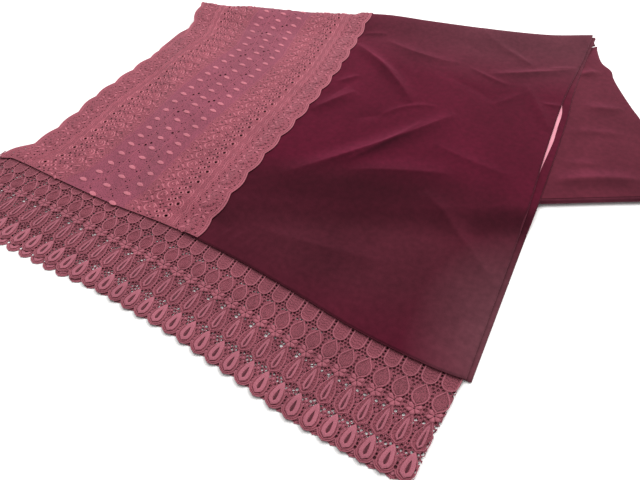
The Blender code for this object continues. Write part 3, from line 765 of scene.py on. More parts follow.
def grid_faces(columns, rows):
    """Quads of a grid of points kept row by row."""
    corners = np.arange(columns * rows).reshape(rows, columns)
    quads = np.stack([corners[:-1, :-1], corners[:-1, 1:], corners[1:, 1:], corners[1:, :-1]], -1)
    return quads.reshape(-1, 4).tolist()


def over_fold(layer, x, y, rows):
    """Plan points with more rows, from the last one round the far fold to the sheet's far end."""
    more = [layer.past_fold(x[-1:], y[-1:], share) for share in np.linspace(0, 1, rows + 1)[1:]]
    return [np.concatenate([first] + [row[axis] for row in more]) for axis, first in ((0, x), (1, y))]


def cloth_grid(name, layer, x, y, materials, roll):
    """A shell on a grid of plan points."""
    outer = layer.place(x, y, layer.thick + 0 * x).reshape(-1, 3)
    inner = layer.place(x, y, 0 * x).reshape(-1, 3)
    points, faces = closed_wall(outer, inner, grid_faces(x.shape[1], x.shape[0]), roll)
    return add_object(name, points, faces, materials)


# Velvet and lining

def velvet_top():
    u, v = np.meshgrid(np.linspace(0, 1, 151), np.linspace(0, 1, 251))
    x, y = half_point(velvet_left, top_right, near_hem, u, v)
    x, y = over_fold(VELVET_TOP, x, y, FOLD_ROWS)
    piece = cloth_grid("velvet_top_cloth", VELVET_TOP, x, y, [VELVET], VELVET_ROLL)
    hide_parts("velvet_top")


def velvet_under():
    """Its columns go on from 1 to 2 across the strip that shows beside the top half."""
    columns = np.concatenate([np.linspace(0, 0.9, 31), np.linspace(0.9, 1, 9)[1:],
                              np.linspace(1, 2, 9)[1:]])
    u, v = np.meshgrid(columns, np.linspace(0, 1, 161))
    x, y = half_point(under_velvet_left, top_right, under_hem, np.minimum(u, 1), v)
    x = mix(x, curve(UNDER_RIGHT, y), np.maximum(u - 1, 0))
    x, y = over_fold(VELVET_UNDER, x, y, FOLD_ROWS)
    piece = cloth_grid("velvet_under_cloth", VELVET_UNDER, x, y, [VELVET], UNDER_ROLL)
    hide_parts("velvet_under")


def lining_under():
    """A strip that starts under the top half's velvet and ends at the lower half's hem."""
    columns = np.linspace(0, 1, 13)
    u, v = np.meshgrid(columns, np.linspace(*LINING_SHOWS, 121))
    x, y = half_point(velvet_left, top_right, under_hem, mix(LINING_STARTS, 1, u), v)
    x = np.where(u == 1, curve(UNDER_RIGHT, y) - curve(UNDER_HEM, y), x)
    x[:, 1:-1] = mix(x[:, :1], x[:, -1:], columns[1:-1])
    piece = cloth_grid("lining_strip", LINING, x, y, [SATIN_CLOTH], SATIN_ROLL)
    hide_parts("lining_under")


# Raised work

class Relief:
    """Raised work in a plan of its own: points are (across, along, height), in metres.

    Its faces look outward once one of the two plan directions is mirrored.
    """

    def __init__(self, inside=None):
        self.inside = inside
        self.points = []
        self.faces = []
        self.slots = []
        self.count = 0

    def add(self, points, faces, slot):
        self.points.append(np.asarray(points, float))
        self.faces += [[self.count + i for i in face] for face in faces]
        self.slots += [slot] * len(faces)
        self.count += len(points)

    def tube(self, path, radius, height, sides=5, closed=False, slot=CORD_SLOT, flat=0.85):
        """Round cord along a plan path; height is its middle's. Only its stretches inside are made."""
        path = np.asarray(path, float)
        if self.inside is not None:
            kept = self.inside(path[:, 0], path[:, 1])
            if not kept.all():
                if closed:
                    path, kept = np.vstack([path, path[:1]]), np.append(kept, kept[0])
                steps = np.flatnonzero(np.diff(np.concatenate([[0], kept.astype(int), [0]])))
                for start, end in zip(steps[::2], steps[1::2]):
                    if end - start > 1:
                        self.cord(path[start:end], radius, height, sides, False, slot, flat)
                return
        self.cord(path, radius, height, sides, closed, slot, flat)

    def cord(self, path, radius, height, sides, closed, slot, flat):
        count = len(path)
        if closed:
            run = np.roll(path, -1, axis=0) - np.roll(path, 1, axis=0)
        else:
            run = np.gradient(path, axis=0)
        run /= np.maximum(np.linalg.norm(run, axis=1, keepdims=True), TINY)
        across = np.stack([run[:, 1], -run[:, 0]], axis=-1)
        turns = np.arange(sides) * 2 * math.pi / sides + math.pi / 2
        plan = path[:, None, :] + radius * np.cos(turns)[None, :, None] * across[:, None, :]
        level = np.broadcast_to(height + radius * flat * np.sin(turns), (count, sides))
        points = np.concatenate([plan, level[:, :, None]], axis=-1).reshape(-1, 3)
        faces = []
        for k in range(count if closed else count - 1):
            a, b = k * sides, (k + 1) % count * sides
            for i in range(sides):
                j = (i + 1) % sides
                faces.append([a + i, a + j, b + j, b + i])
        if not closed:
            faces.append(list(range(sides))[::-1])
            faces.append([(count - 1) * sides + i for i in range(sides)])
        self.add(points, faces, slot)

    def leaf(self, middle, length, width, turn, height, slot=CORD_SLOT, base=0.0, rings=OVAL):
        """Rounded blob, such as a petal or a worked dash, its far end towards turn."""
        if self.inside is not None and not self.inside(*np.array([middle]).T).all():
            return
        sides = BLOB_SIDES
        angles = np.arange(sides) * 2 * math.pi / sides + math.pi / sides
        cos, sin = math.cos(turn), math.sin(turn)
        points = []
        for along, share in rings:
            for angle in angles:
                a, b = along * length, share * width / 2 * math.cos(angle)
                points.append((middle[0] + a * cos - b * sin, middle[1] + a * sin + b * cos,
                               base + height * share * math.sin(angle)))
        faces = []
        for k in range(len(rings) - 1):
            for i in range(sides):
                j = (i + 1) % sides
                a = k * sides
                faces.append([a + i, a + sides + i, a + sides + j, a + j])
        faces.append(list(range(sides)))
        last = (len(rings) - 1) * sides
        faces.append([last + i for i in range(sides)][::-1])
        self.add(points, faces, slot)

    def ring(self, middle, radius, thick, height, slot=CORD_SLOT, count=9, sides=4):
        turns = np.arange(count, 0, -1) * 2 * math.pi / count
        path = np.column_stack([middle[0] + radius * np.cos(turns),
                                middle[1] + radius * np.sin(turns)])
        self.tube(path, thick, height, sides, True, slot)

    def whole(self):
        return np.concatenate(self.points), self.faces, self.slots


def arc(middle, radius, start, end, count):
    turns = np.radians(np.linspace(start, end, count))
    return np.column_stack([middle[0] + radius * np.cos(turns), middle[1] + radius * np.sin(turns)])


def teardrop(top, bottom, half_width, widest, count=26, pinch=1.15, base=0.5):
    """Closed outline of a drop that hangs down; pinch and base say how pointed its two ends are."""
    t = np.linspace(0, 1, count // 2 + 1)
    depth = mix(top, bottom, 1 - np.cos(np.pi * t / 2) * (1 - 0.25 * np.sin(np.pi * t)))
    upper = np.clip((depth - top) / (widest - top), 0, 1)
    lower = np.clip((depth - widest) / (bottom - widest), 0, 1)
    half = half_width * np.sin(np.pi / 2 * upper) ** pinch * np.maximum(1 - lower ** 2, 0) ** base
    left = np.column_stack([-half, depth])
    right = np.column_stack([half, depth])[1:-1][::-1]
    return np.concatenate([left, right])


def pierced(outline, holes, spacing, clear):
    """Triangles of a plan outline with holes cut through; holes are (x, y, half width, half depth).

    Points inside lie a spacing apart, clear of the holes.
    """
    plan = [tuple(point) for point in outline]
    edges = [(k, (k + 1) % len(plan)) for k in range(len(plan))]
    turns = np.arange(HOLE_SIDES) * 2 * math.pi / HOLE_SIDES
    for x, y, wide, deep in holes:
        first = len(plan)
        plan += [(x + wide * math.cos(t), y + deep * math.sin(t)) for t in turns]
        edges += [(first + i, first + (i + 1) % HOLE_SIDES) for i in range(HOLE_SIDES)]
    holes = np.array(holes)
    low, high = outline.min(axis=0), outline.max(axis=0)
    for row, y in enumerate(np.arange(low[1] + spacing / 2, high[1], spacing)):
        for x in np.arange(low[0] + spacing / (2 if row % 2 else 1), high[0] - spacing / 4, spacing):
            if np.min(np.hypot(holes[:, 0] - x, holes[:, 1] - y) - holes[:, 2]) > clear:
                plan.append((x, y))
    found = delaunay_2d_cdt(plan, edges, [], 1, SAME_POINT)
    points = np.array([tuple(point) for point in found[0]])
    faces = np.array([list(face) for face in found[2]])
    middles = points[faces].mean(axis=1)
    solid = np.ones(len(faces), bool)
    for start in range(0, len(faces), BATCH):
        some = middles[start:start + BATCH]
        out = np.hypot((some[:, None, 0] - holes[None, :, 0]) / holes[None, :, 2],
                       (some[:, None, 1] - holes[None, :, 1]) / holes[None, :, 3])
        solid[start:start + BATCH] = out.min(axis=1) > HOLE_SHARE
    return points, faces[solid].tolist()


def used_only(points, faces):
    """The points that faces use, and the faces numbered for them."""
    used = sorted({i for face in faces for i in face})
    place = {i: k for k, i in enumerate(used)}
    return points[used], [[place[i] for i in face] for face in faces]


def wall_slots(faces, total):
    """Slots of a closed wall: its two sheets, then the walls of its holes and rim in painted shade."""
    return [GROUND_SLOT] * (2 * faces) + [SHADE_SLOT] * (total - 2 * faces)


# Teardrop trim: depth is measured down from the motifs' upper ends

SIDE = MOTIF / 2
TRIM_GROUND = 0.0006
CORD_RADIUS = 0.00075
CORD_HEIGHT = 0.0009
TRIM_TOP = -0.004
HOLES_OPEN = 1.22       # how far the thread pulls its holes open
HOLE_WALL = 0.00015     # half of the wall between two mirrored holes
CELL_COLUMNS = 8
CELL_ROWS = 36
CELL_SPACING = 0.0034
ON_SIDE = 1e-6
SCALLOP_RIM = (  # out from a motif's middle, depth
    (0.0000, 0.1152), (0.0008, 0.1143), (0.0030, 0.1139), (0.0055, 0.1128), (0.0076, 0.1110),
    (0.0090, 0.1090), (SIDE, 0.1080),
)
TRIM_HOLES = (  # out from the middle between two motifs, depth, half width, half depth
    (0.0000, 0.0030, 0.0011, 0.0013), (0.0000, 0.0070, 0.0011, 0.0013),
    (0.0000, 0.0110, 0.0012, 0.0014), (0.0018, 0.0152, 0.0013, 0.0014),
    (0.0000, 0.0192, 0.0013, 0.0014), (0.0037, 0.0190, 0.0015, 0.0014),
    (0.0066, 0.0215, 0.0013, 0.0010), (0.0025, 0.0229, 0.0014, 0.0014),
    (0.0000, 0.0266, 0.0014, 0.0015), (0.0000, 0.0308, 0.0013, 0.0016),
    (0.0000, 0.0350, 0.0009, 0.0014), (0.0014, 0.0390, 0.0010, 0.0014),
    (0.0038, 0.0420, 0.0014, 0.0014), (0.0000, 0.0426, 0.0012, 0.0012),
    (0.0064, 0.0448, 0.0011, 0.0010), (0.0000, 0.0466, 0.0019, 0.0018),
    (0.0000, 0.0512, 0.0013, 0.0012), (0.0028, 0.0536, 0.0014, 0.0014),
    (0.0060, 0.0546, 0.0012, 0.0013), (0.0000, 0.0556, 0.0011, 0.0012),
    (0.0038, 0.0578, 0.0018, 0.0017), (0.0010, 0.0600, 0.0009, 0.0013),
    (0.0050, 0.0622, 0.0010, 0.0012), (0.0000, 0.0638, 0.0010, 0.0012),
    (0.0030, 0.0652, 0.0011, 0.0014), (0.0010, 0.0686, 0.0008, 0.0013),
    (0.0000, 0.0722, 0.0010, 0.0012), (0.0000, 0.0758, 0.0009, 0.0012),
    (0.0000, 0.0794, 0.0009, 0.0012), (0.0013, 0.0828, 0.0010, 0.0013),
    (0.0000, 0.0862, 0.0012, 0.0013), (0.0039, 0.0856, 0.0016, 0.0015),
    (0.0072, 0.0880, 0.0014, 0.0013), (0.0022, 0.0894, 0.0015, 0.0015),
    (0.0054, 0.0912, 0.0011, 0.0014), (0.0000, 0.0926, 0.0011, 0.0013),
    (0.0030, 0.0942, 0.0011, 0.0015), (0.0010, 0.0978, 0.0008, 0.0013),
    (0.0000, 0.1014, 0.0010, 0.0013), (0.0000, 0.1052, 0.0015, 0.0014),
)


ARCH_SIDE = ((-0.0076, TRIM_TOP), (-0.0076, 0.002), (-0.0076, 0.008), (-0.0075, 0.0125))
ARCH_ROUND = (0.0125, 0.0075)  # depth of its middle, radius
ARCH_NET = (0.0010, 0.0042, 0.0074, 0.0106, 0.0138)  # depths of its threads
ARCH_NET_WAVE = ((-0.0062, 0.0), (-0.0020, 0.0018), (0.0020, 0.0), (0.0062, 0.0018))
LEAF_OUTLINE = (0.0212, 0.0448, 0.0077, 0.0350, 24, 1.20, 0.7)  # as teardrop takes them
LEAF_STITCH = (0.0232, 0.0436, 0.0077, 0.0350, 10, 1.20, 0.7)
LEAF_STITCHES = (-0.75, 0.75, 6)  # outermost shares of the half width, and how many
UPPER_DROP = (0.0535, 0.0858, 0.0080, 0.0755, 28, 1.10, 0.5)
DROP_CORDS = (  # outline, radius, height, sides, material's place, flatness
    (LEAF_OUTLINE, CORD_RADIUS, CORD_HEIGHT, 5, CORD_SLOT, 0.85),
    (UPPER_DROP, 0.00055, 0.0008, 5, CORD_SLOT, 0.85),
    ((0.0595, 0.0824, 0.0025, 0.0782, 22, 0.95, 0.5), 0.0012, 0.0013, 5, LOOP_SLOT, 0.85),
    ((0.0868, 0.1128, 0.0080, 0.1045, 26, 1.05, 0.5), 0.00050, 0.0008, 5, CORD_SLOT, 0.85),
    ((0.0892, 0.1096, 0.0039, 0.1045, 22, 0.95, 0.5), 0.0023, 0.0010, 6, LOOP_SLOT, 0.62),
)
# Blobs in painted shade: the knot of the flower and the slots inside the drops' loops
PAINTED_SHADE_BLOBS = (  # depth, length, width, turn in degrees, height, shape
    (FLOWER_DEPTH, 0.0020, 0.0020, 0, 0.0010, OVAL), (0.0758, 0.0110, 0.0017, 90, 0.0006, PEAR),
    (0.1012, 0.0136, 0.0024, 90, 0.0007, PEAR),
)
PETAL_TURNS = (-30, 30, 90, 150, 210)
PETAL = (0.0066, 0.0050, 0.0013)  # length, width, height
PETAL_OUT = 0.0041
STEMS = (  # x and depth of one end, and of the other, radius, height, sides
    (0, 0.0446, 0, 0.0466, 0.0007, CORD_HEIGHT, 5),
    (0.0056, FLOWER_DEPTH - 0.0036, 0.0086, FLOWER_DEPTH - 0.0042, 0.0004, 0.0007, 4),
    (-0.0056, FLOWER_DEPTH - 0.0036, -0.0086, FLOWER_DEPTH - 0.0042, 0.0004, 0.0007, 4),
)
RAYS_MEET = (0, 0.0735)
RAY_SHARES = (0.14, 0.46)  # where a ray of stitches starts and ends, from the outline inward
RIM_CORD = (0.0005, 0.00055, 0.0006)  # in from the edge, radius, height
CHAINS = ((0.0680, 0.0024, 7), (0.0960, 0.0022, 5))  # first depth, step, links
CHAIN_SIDE = SIDE - 0.0018
CHAIN_ZIGZAG = 0.0004
THIN_CORD = (0.00036, 0.0007, 4)  # radius, height, sides


def draw_net(relief):
    """Threads on the ground: in the arch of row 1, along the leaf of row 2, in the upper drop."""
    lines = [[(x, depth + wave) for x, wave in ARCH_NET_WAVE] for depth in ARCH_NET]
    for line in lines:
        relief.tube(line, 0.00036, 0.0006, 3, slot=GROUND_SLOT)
    top, bottom, half_width, *shape = LEAF_STITCH
    for share in np.linspace(*LEAF_STITCHES):
        stitch = teardrop(top, bottom, half_width * abs(share), *shape)[1:6]
        relief.tube(stitch if share < 0 else stitch * (-1, 1), 0.00036, 0.0007, 3, slot=GROUND_SLOT)
    middle = np.array(RAYS_MEET)
    for point in teardrop(*UPPER_DROP)[4:-3:2]:
        ray = [mix(point, middle, share) for share in RAY_SHARES]
        relief.tube(ray, 0.00042, 0.0007, 3, slot=GROUND_SLOT)


def draw_cords(relief):
    """The arch, the leaf and both drops with the loops in them, and the scalloped edge."""
    below = arc((0, ARCH_ROUND[0]), ARCH_ROUND[1], 180, 0, 11)[1:-1]
    arch = list(ARCH_SIDE) + [tuple(point) for point in below] + [(-x, y) for x, y in ARCH_SIDE[::-1]]
    relief.tube(arch, CORD_RADIUS, CORD_HEIGHT)
    for outline, radius, height, sides, slot, flat in DROP_CORDS:
        relief.tube(teardrop(*outline), radius, height, sides, True, slot, flat)
    for x0, depth0, x1, depth1, radius, height, sides in STEMS:
        relief.tube([(x0, depth0), (x1, depth1)], radius, height, sides)
    inward, radius, height = RIM_CORD
    rim = [(x, depth - inward) for x, depth in SCALLOP_RIM]
    relief.tube([(-x, depth) for x, depth in rim[:0:-1]] + rim, radius, height, 4)
    for side in (-1, 1):
        for depth, step, links in CHAINS:
            chain = [(side * (CHAIN_SIDE - CHAIN_ZIGZAG * (k % 2)), depth + k * step)
                     for k in range(links)]
            relief.tube(chain, *THIN_CORD)


def draw_blobs(relief):
    """Petals round a knot in row 3, and blobs of painted shade on the knot and in the slots inside the
    loops of the drops.
    """
    length, width, height = PETAL
    for turn in PETAL_TURNS:
        angle = math.radians(turn)
        middle = (PETAL_OUT * math.cos(angle), FLOWER_DEPTH + PETAL_OUT * math.sin(angle))
        relief.leaf(middle, length, width, angle, height, base=TRIM_GROUND, rings=PEAR)
    for depth, length, width, turn, height, shape in PAINTED_SHADE_BLOBS:
        relief.leaf((0, depth), length, width, math.radians(turn), height, SHADE_SLOT, TRIM_GROUND, shape)


def trim_motif():
    relief = Relief()
    draw_net(relief)
    draw_cords(relief)
    draw_blobs(relief)
    return relief.whole()


def trim_cell():
    """Ground from one motif's middle to the next: points, triangles, and its two sides' points."""
    across = np.linspace(0, MOTIF, CELL_COLUMNS + 1)[1:-1]
    top = np.column_stack([across, np.full_like(across, TRIM_TOP)])
    depths = np.linspace(TRIM_TOP, SCALLOP_RIM[0][1], CELL_ROWS + 1)
    near = np.column_stack([np.zeros_like(depths), depths])
    far = near + (MOTIF, 0)
    rim = [(x, depth) for x, depth in SCALLOP_RIM[1:]]
    rim += [(MOTIF - x, depth) for x, depth in SCALLOP_RIM[-2:0:-1]]
    outline = np.concatenate([top, far, np.array(rim)[::-1], near[::-1]])
    holes = []
    for x, depth, wide, deep in TRIM_HOLES:
        wide, deep = wide * HOLES_OPEN, deep * HOLES_OPEN
        for side in ((-1, 1) if x else (1,)):
            holes.append((SIDE + side * x, depth, min(wide, x - HOLE_WALL) if x else wide, deep))
    points, faces = pierced(outline, holes, CELL_SPACING, HOLE_CLEAR)
    sides = []
    for x in (0, MOTIF):
        on = np.flatnonzero(np.abs(points[:, 0] - x) < ON_SIDE)
        sides.append(on[np.argsort(points[on, 1])])
    return points, faces, sides


def trim_ground(middles, pitch):
    """Ground of a whole trim, its cells joined, cut off at its two ends: points and triangles."""
    cell, cell_faces, (left, right) = trim_cell()
    points, faces = [], []
    count = 0
    joined = None
    for start in [middles[0] - pitch] + middles:
        place = count + np.arange(len(cell))
        if joined is not None:
            place[left] = joined
        joined = place[right]
        points.append(np.column_stack([start + cell[:, 0] * pitch / MOTIF, cell[:, 1]]))
        faces += place[np.array(cell_faces)].tolist()
        count += len(cell)
    points = np.concatenate(points)
    kept = (points[:, 0] > TRIM_LEFT) & (points[:, 0] < TRIM_RIGHT)
    faces = without_pinches([face for face in faces if kept[face].all()])
    return used_only(points, faces)


def add_trim(name, line, level, drawn_up, shift, height_share, pitch):
    """Trim of a row of repeats: line gives its motifs' upper ends, level its underside."""
    def place(points):
        x = points[:, 0] + LACE_WOBBLE * np.sin(points[:, :2] @ LACE_WAVES)
        x = np.clip(x, TRIM_LEFT, TRIM_RIGHT)
        depth = points[:, 1]
        y = line(x) - depth * (1 + DEPTH_WAVE[0] * np.sin(x * DEPTH_WAVE[1]) - drawn_up(x))
        x = x + curve(TRIM_LEAN, x) * np.maximum(depth, 0)
        height = np.maximum(level(x, y) + points[:, 2] * height_share, LIES_ON_SURFACE)
        return np.column_stack([x, y, height])

    middles = np.arange(LAST_MOTIF + shift, TRIM_LEFT, -pitch)[::-1].tolist()
    ground, ground_faces = trim_ground(middles, pitch)
    ground_faces = [face[::-1] for face in ground_faces]
    flat = np.zeros(len(ground))
    outer = place(np.column_stack([ground, flat + TRIM_GROUND]))
    inner = place(np.column_stack([ground, flat]))
    points, faces = closed_wall(outer, inner, ground_faces)
    slots = wall_slots(len(ground_faces), len(faces))
    drawn, motif_faces, motif_slots = trim_motif()
    points = [points]
    count = len(points[0])
    for middle in middles:
        points.append(place(drawn + (middle, 0, 0)))
        faces += [[count + i for i in face] for face in motif_faces]
        slots += motif_slots
        count += len(drawn)
    return add_object(name, np.concatenate(points), faces, TRIM_MATERIALS, slots)


def end_laces():
    def top_line(x):
        return curve(TRIM_TOP_LINE, x)

    def top_level(x, y):
        covered = ease((y - near_hem(x) + TRIM_DROP) / TRIM_DROP)
        return mix(TRIM_LYING, TRIM_TUCKED, covered)

    def under_line(x):
        corner = UNDER_TRIM_CORNER * (1 - ease(x / UNDER_TRIM_CORNER_WIDTH))
        return under_hem(x) - SEAM - corner - TRIM_TAB

    def under_drawn_up(x):
        return UNDER_TRIM_SHORT * ease(x / UNDER_TRIM_CORNER_WIDTH)

    top = add_trim("end_lace_top_trim", top_line, top_level, lambda x: 0 * x, 0.0, 1.0, MOTIF)
    under = add_trim("end_lace_under_trim", under_line, lambda x, y: 0 * x, under_drawn_up,
                     -MOTIF / 2, UNDER_TRIM_HEIGHT, UNDER_MOTIF)
    for piece, node, below in ((top, "end_lace_top", "end_lace_under_trim"),
                               (under, "end_lace_under", "floor")):
        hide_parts(node)


# Wide lace band: pieces are drawn by their distance in from its edge and along it

BAND_WIDTH = 0.320
FIELD_SHARE = 0.31      # of the width
FIELD_PITCH = 0.0212    # dashes of the middle field and rings of the borders
BAND_ALONG = (-0.002, 0.66)
BAND_FACE = LACE + 0.0001
BAND_SHEET = 0.0007     # thickness of its ground
EDGE_CLEAR = 0.0010     # between the outline and the edge of a hole
RELIEF_STOPS = 0.0010   # before the near hem and the far end
UNDER_CORDS_STOP = 0.010
BORDER_HOLES = (  # inward, along from a ring's middle, half width
    (0.0575, 0.0000, 0.0022), (0.0655, 0.0050, 0.0014), (0.0655, -0.0050, 0.0014),
    (0.0612, 0.0106, 0.0012), (0.0722, 0.0004, 0.0014), (0.0735, 0.0080, 0.0012),
    (0.0748, -0.0075, 0.0011), (0.0770, 0.0110, 0.0011), (0.0905, 0.0100, 0.0010),
    (0.0885, -0.0090, 0.0010), (0.0972, -0.0012, 0.0009), (0.1040, 0.0070, 0.0009),
    (0.1065, -0.0060, 0.0009),
)
FIELD_HOLES = (  # in from the left edge, along as a share of the pitch, half width
    (0.1370, 0.25, 0.0012), (0.1402, 0.45, 0.0009), (0.1490, 0.62, 0.0012), (0.1455, 0.72, 0.0009),
    (0.1710, 0.12, 0.0012), (0.1742, 0.31, 0.0009), (0.1830, 0.75, 0.0012), (0.1795, 0.86, 0.0009),
)
FAN_HOLES = (0.0225, 0.0162, 0.0172, 0.0010)  # inward, reach inward and along, half width
FAN_HOLE_TURNS = range(-96, 97, 24)
ZIGZAG_HOLES = 6        # pairs in each scallop
ZIGZAG_ROWS = (  # inward, swing, along, half width
    (0.0335, 0.0022, 0.0, 0.0011), (0.0372, 0.0014, 0.0034, 0.0008),
)
SEE_THROUGH = (  # share of the width, along, of places where both bands' holes meet
    (0.465, 0.118), (0.472, 0.196), (0.545, 0.152), (0.452, 0.242), (0.552, 0.238), (0.470, 0.305),
    (0.560, 0.322), (0.448, 0.371), (0.540, 0.402), (0.467, 0.452), (0.556, 0.487),
)
SEEN_ASLANT = (-0.0034, 0.0038)  # how far the lower band's holes lie on, to meet the upper's
SEE_THROUGH_CLEAR = 0.0085       # free of other holes round such a place
SEE_THROUGH_PAIR = (0.0026, 0.0032)  # from its middle to each of its two holes

TOP_OPENING = 0.0020    # half width of the upper band's
UNDER_OPENING = 0.0038
TOP_SPACING = 0.0048    # of the points of the upper band's ground
UNDER_SPACING = 0.0065
OUTLINE_ALONG = 240     # steps along a side, across an end, and round the far fold
OUTLINE_ACROSS = 60
OUTLINE_FOLD = 12

# Raised work of the band, turns in radians but those of the fan and its beads

FAN_HEART = 0.0245      # inward
FAN_TURNS = (-84, -42, 0, 42, 84)
FAN_PARTS = (  # turned further by, out from the heart, length, width, height, material's place, shape
    (0, 0.0068, 0.0116, 0.0074, 0.0010, GROUND_SLOT, PEAR),
    # the second row: slits between the petals in painted shade
    (21, 0.0104, 0.0050, 0.0009, 0.0004, SHADE_SLOT, OVAL),
)
FAN_KNOT = (0.0040, 0.0040, 0, 0.0012)  # length, width, turn, height
# beads in the shine material: painted highlight
FAN_BEADS = (0.0253, 0.0188, 0.0170)  # inward, reach inward and along
FAN_BEAD_TURNS = (-36, -18, 0, 18, 36)
FAN_BEAD = (0.0017, 0.0017, 0, 0.0009)  # length, width, turn, height
SCALLOP_LEAVES = (  # inward, along, length, width, turn, height; each has a mirrored twin
    (0.0282, 0.0052, 0.0072, 0.0040, 0.9, 0.0009), (0.0150, 0.0182, 0.0066, 0.0036, 0.5, 0.0009),
    (0.0262, 0.0172, 0.0070, 0.0036, -0.7, 0.0009),
)
WAVY_CORDS = ((0.0402, 0.0012), (0.0432, 0.0012), (0.0508, 0.0008))  # inward, swing
WAVY_STEP = 0.0036
WAVY_RADIUS = 0.0006
BORDER_RINGS = (  # inward, along, radius, thickness
    (0.0575, 0.0000, 0.0034, 0.0012), (0.0655, 0.0050, 0.0025, 0.0010),
    (0.0655, -0.0050, 0.0025, 0.0010), (0.0722, 0.0004, 0.0025, 0.0010),
)
BORDER_ARCS = (  # inward, along, radius, from and to in degrees, points, thickness, material's place
    (0.0575, 0.0000, 0.0068, 100, 260, 10, 0.0008, LOOP_SLOT),
    (0.0845, 0.0020, 0.0066, -140, 150, 15, 0.0012, LOOP_SLOT),
    (0.0830, 0.0036, 0.0030, -60, 190, 9, 0.0010, LOOP_SLOT),
    (0.1000, 0.0012, 0.0030, -170, 60, 9, 0.0007, CORD_SLOT),
    (0.1052, -0.0090, 0.0026, 10, 240, 8, 0.0006, CORD_SLOT),
)
BORDER_LEAVES = (  # inward, along, length, width, turn, height, material's place, shape
    # flat leaves in painted shade in the gaps between rings, then raised leaves of cord
    (0.0618, 0.0088, 0.0046, 0.0022, 0.5, 0.0003, SHADE_SLOT, OVAL),
    (0.0688, -0.0098, 0.0046, 0.0022, -0.6, 0.0003, SHADE_SLOT, OVAL),
    (0.0795, -0.0052, 0.0046, 0.0022, 1.2, 0.0003, SHADE_SLOT, OVAL),
    (0.0905, 0.0060, 0.0046, 0.0022, 0.3, 0.0003, SHADE_SLOT, OVAL),
    (0.0985, -0.0096, 0.0046, 0.0022, 0.8, 0.0003, SHADE_SLOT, OVAL),
    (0.0790, -0.0078, 0.0050, 0.0030, 0.9, 0.0009, CORD_SLOT, OVAL),
    (0.0935, -0.0062, 0.0090, 0.0040, 0.6, 0.0010, CORD_SLOT, PEAR),
    (0.0958, 0.0062, 0.0080, 0.0036, -0.7, 0.0010, CORD_SLOT, PEAR),
    (0.1062, 0.0012, 0.0060, 0.0030, 0.1, 0.0009, CORD_SLOT, OVAL),
)
DASH_COLUMNS = (0.1270, 0.1600, 0.1930)  # in from the left edge
DASH_SHIFTED = 0.3      # share of the pitch, of all but the first column
DASH = (0.0120, 0.0070, 0.0012)  # length, width, height
DASH_LEAN = (-0.10, 0.06)  # mean and spread of its turn
DASH_STRAYS = 0.0006
FIELD_CORDS = (0.1120, 0.1435, 0.1765, 0.2080)
FIELD_CORD_STEP = 0.006
FIELD_CORD_RADIUS = 0.0005
EDGE_CORDS = ((0.0008, 0.0009), (0.0040, 0.0006))  # in from the edge, radius
EDGE_CORD_STEP = 0.0021
EDGE_CORD_HEIGHT = LACE * 0.8


def band_plan(left, right, inward, along, side):
    """Plan point from a distance in from the band's edge on one side, and along it."""
    share = inward / BAND_WIDTH
    if side > 0:
        share = 1 - share
    return mix(left(along), right(along), share), along


def repeats(pitch):
    """Numbers of the repeats of a pitch along the band."""
    return range(int(BAND_ALONG[0] / pitch) - 1, int(BAND_ALONG[1] / pitch) + 2)


def band_holes(left, right):
    """(x, y, half width) of the holes of a band's borders and middle field."""
    drawn = []
    for k in repeats(SCALLOP):
        middle = (k + 0.5) * SCALLOP
        inward, reach_in, reach_along, radius = FAN_HOLES
        for turn in FAN_HOLE_TURNS:
            angle = math.radians(turn)
            drawn.append((inward - reach_in * math.cos(angle), middle + reach_along * math.sin(angle),
                          radius))
        for step in range(ZIGZAG_HOLES):
            start = middle + (step - (ZIGZAG_HOLES - 1) / 2) * SCALLOP / ZIGZAG_HOLES
            for inward, swing, along, radius in ZIGZAG_ROWS:
                drawn.append((inward + swing * (-1) ** step, start + along, radius))
    for k in repeats(FIELD_PITCH):
        for inward, shift, radius in BORDER_HOLES:
            drawn.append((inward, k * FIELD_PITCH + shift, radius))
    holes = []
    for inward, along, radius in drawn:
        for side in (-1, 1):
            holes.append((*band_plan(left, right, inward, along, side), radius))
    for k in repeats(FIELD_PITCH):
        for inward, shift, radius in FIELD_HOLES:
            holes.append((*band_plan(left, right, inward, (k + shift) * FIELD_PITCH, -1), radius))
    return holes


def inside_outline(x, y, outline, margin):
    """Whether a plan point lies within the outline by a margin."""
    ahead = np.roll(outline, -1, axis=0)
    cross = (outline[:, 1] > y) != (ahead[:, 1] > y)
    share = (y - outline[cross, 1]) / (ahead[cross, 1] - outline[cross, 1])
    crossings = mix(outline[cross, 0], ahead[cross, 0], share) > x
    near = np.min(np.hypot(outline[:, 0] - x, outline[:, 1] - y))
    return crossings.sum() % 2 == 1 and near > margin


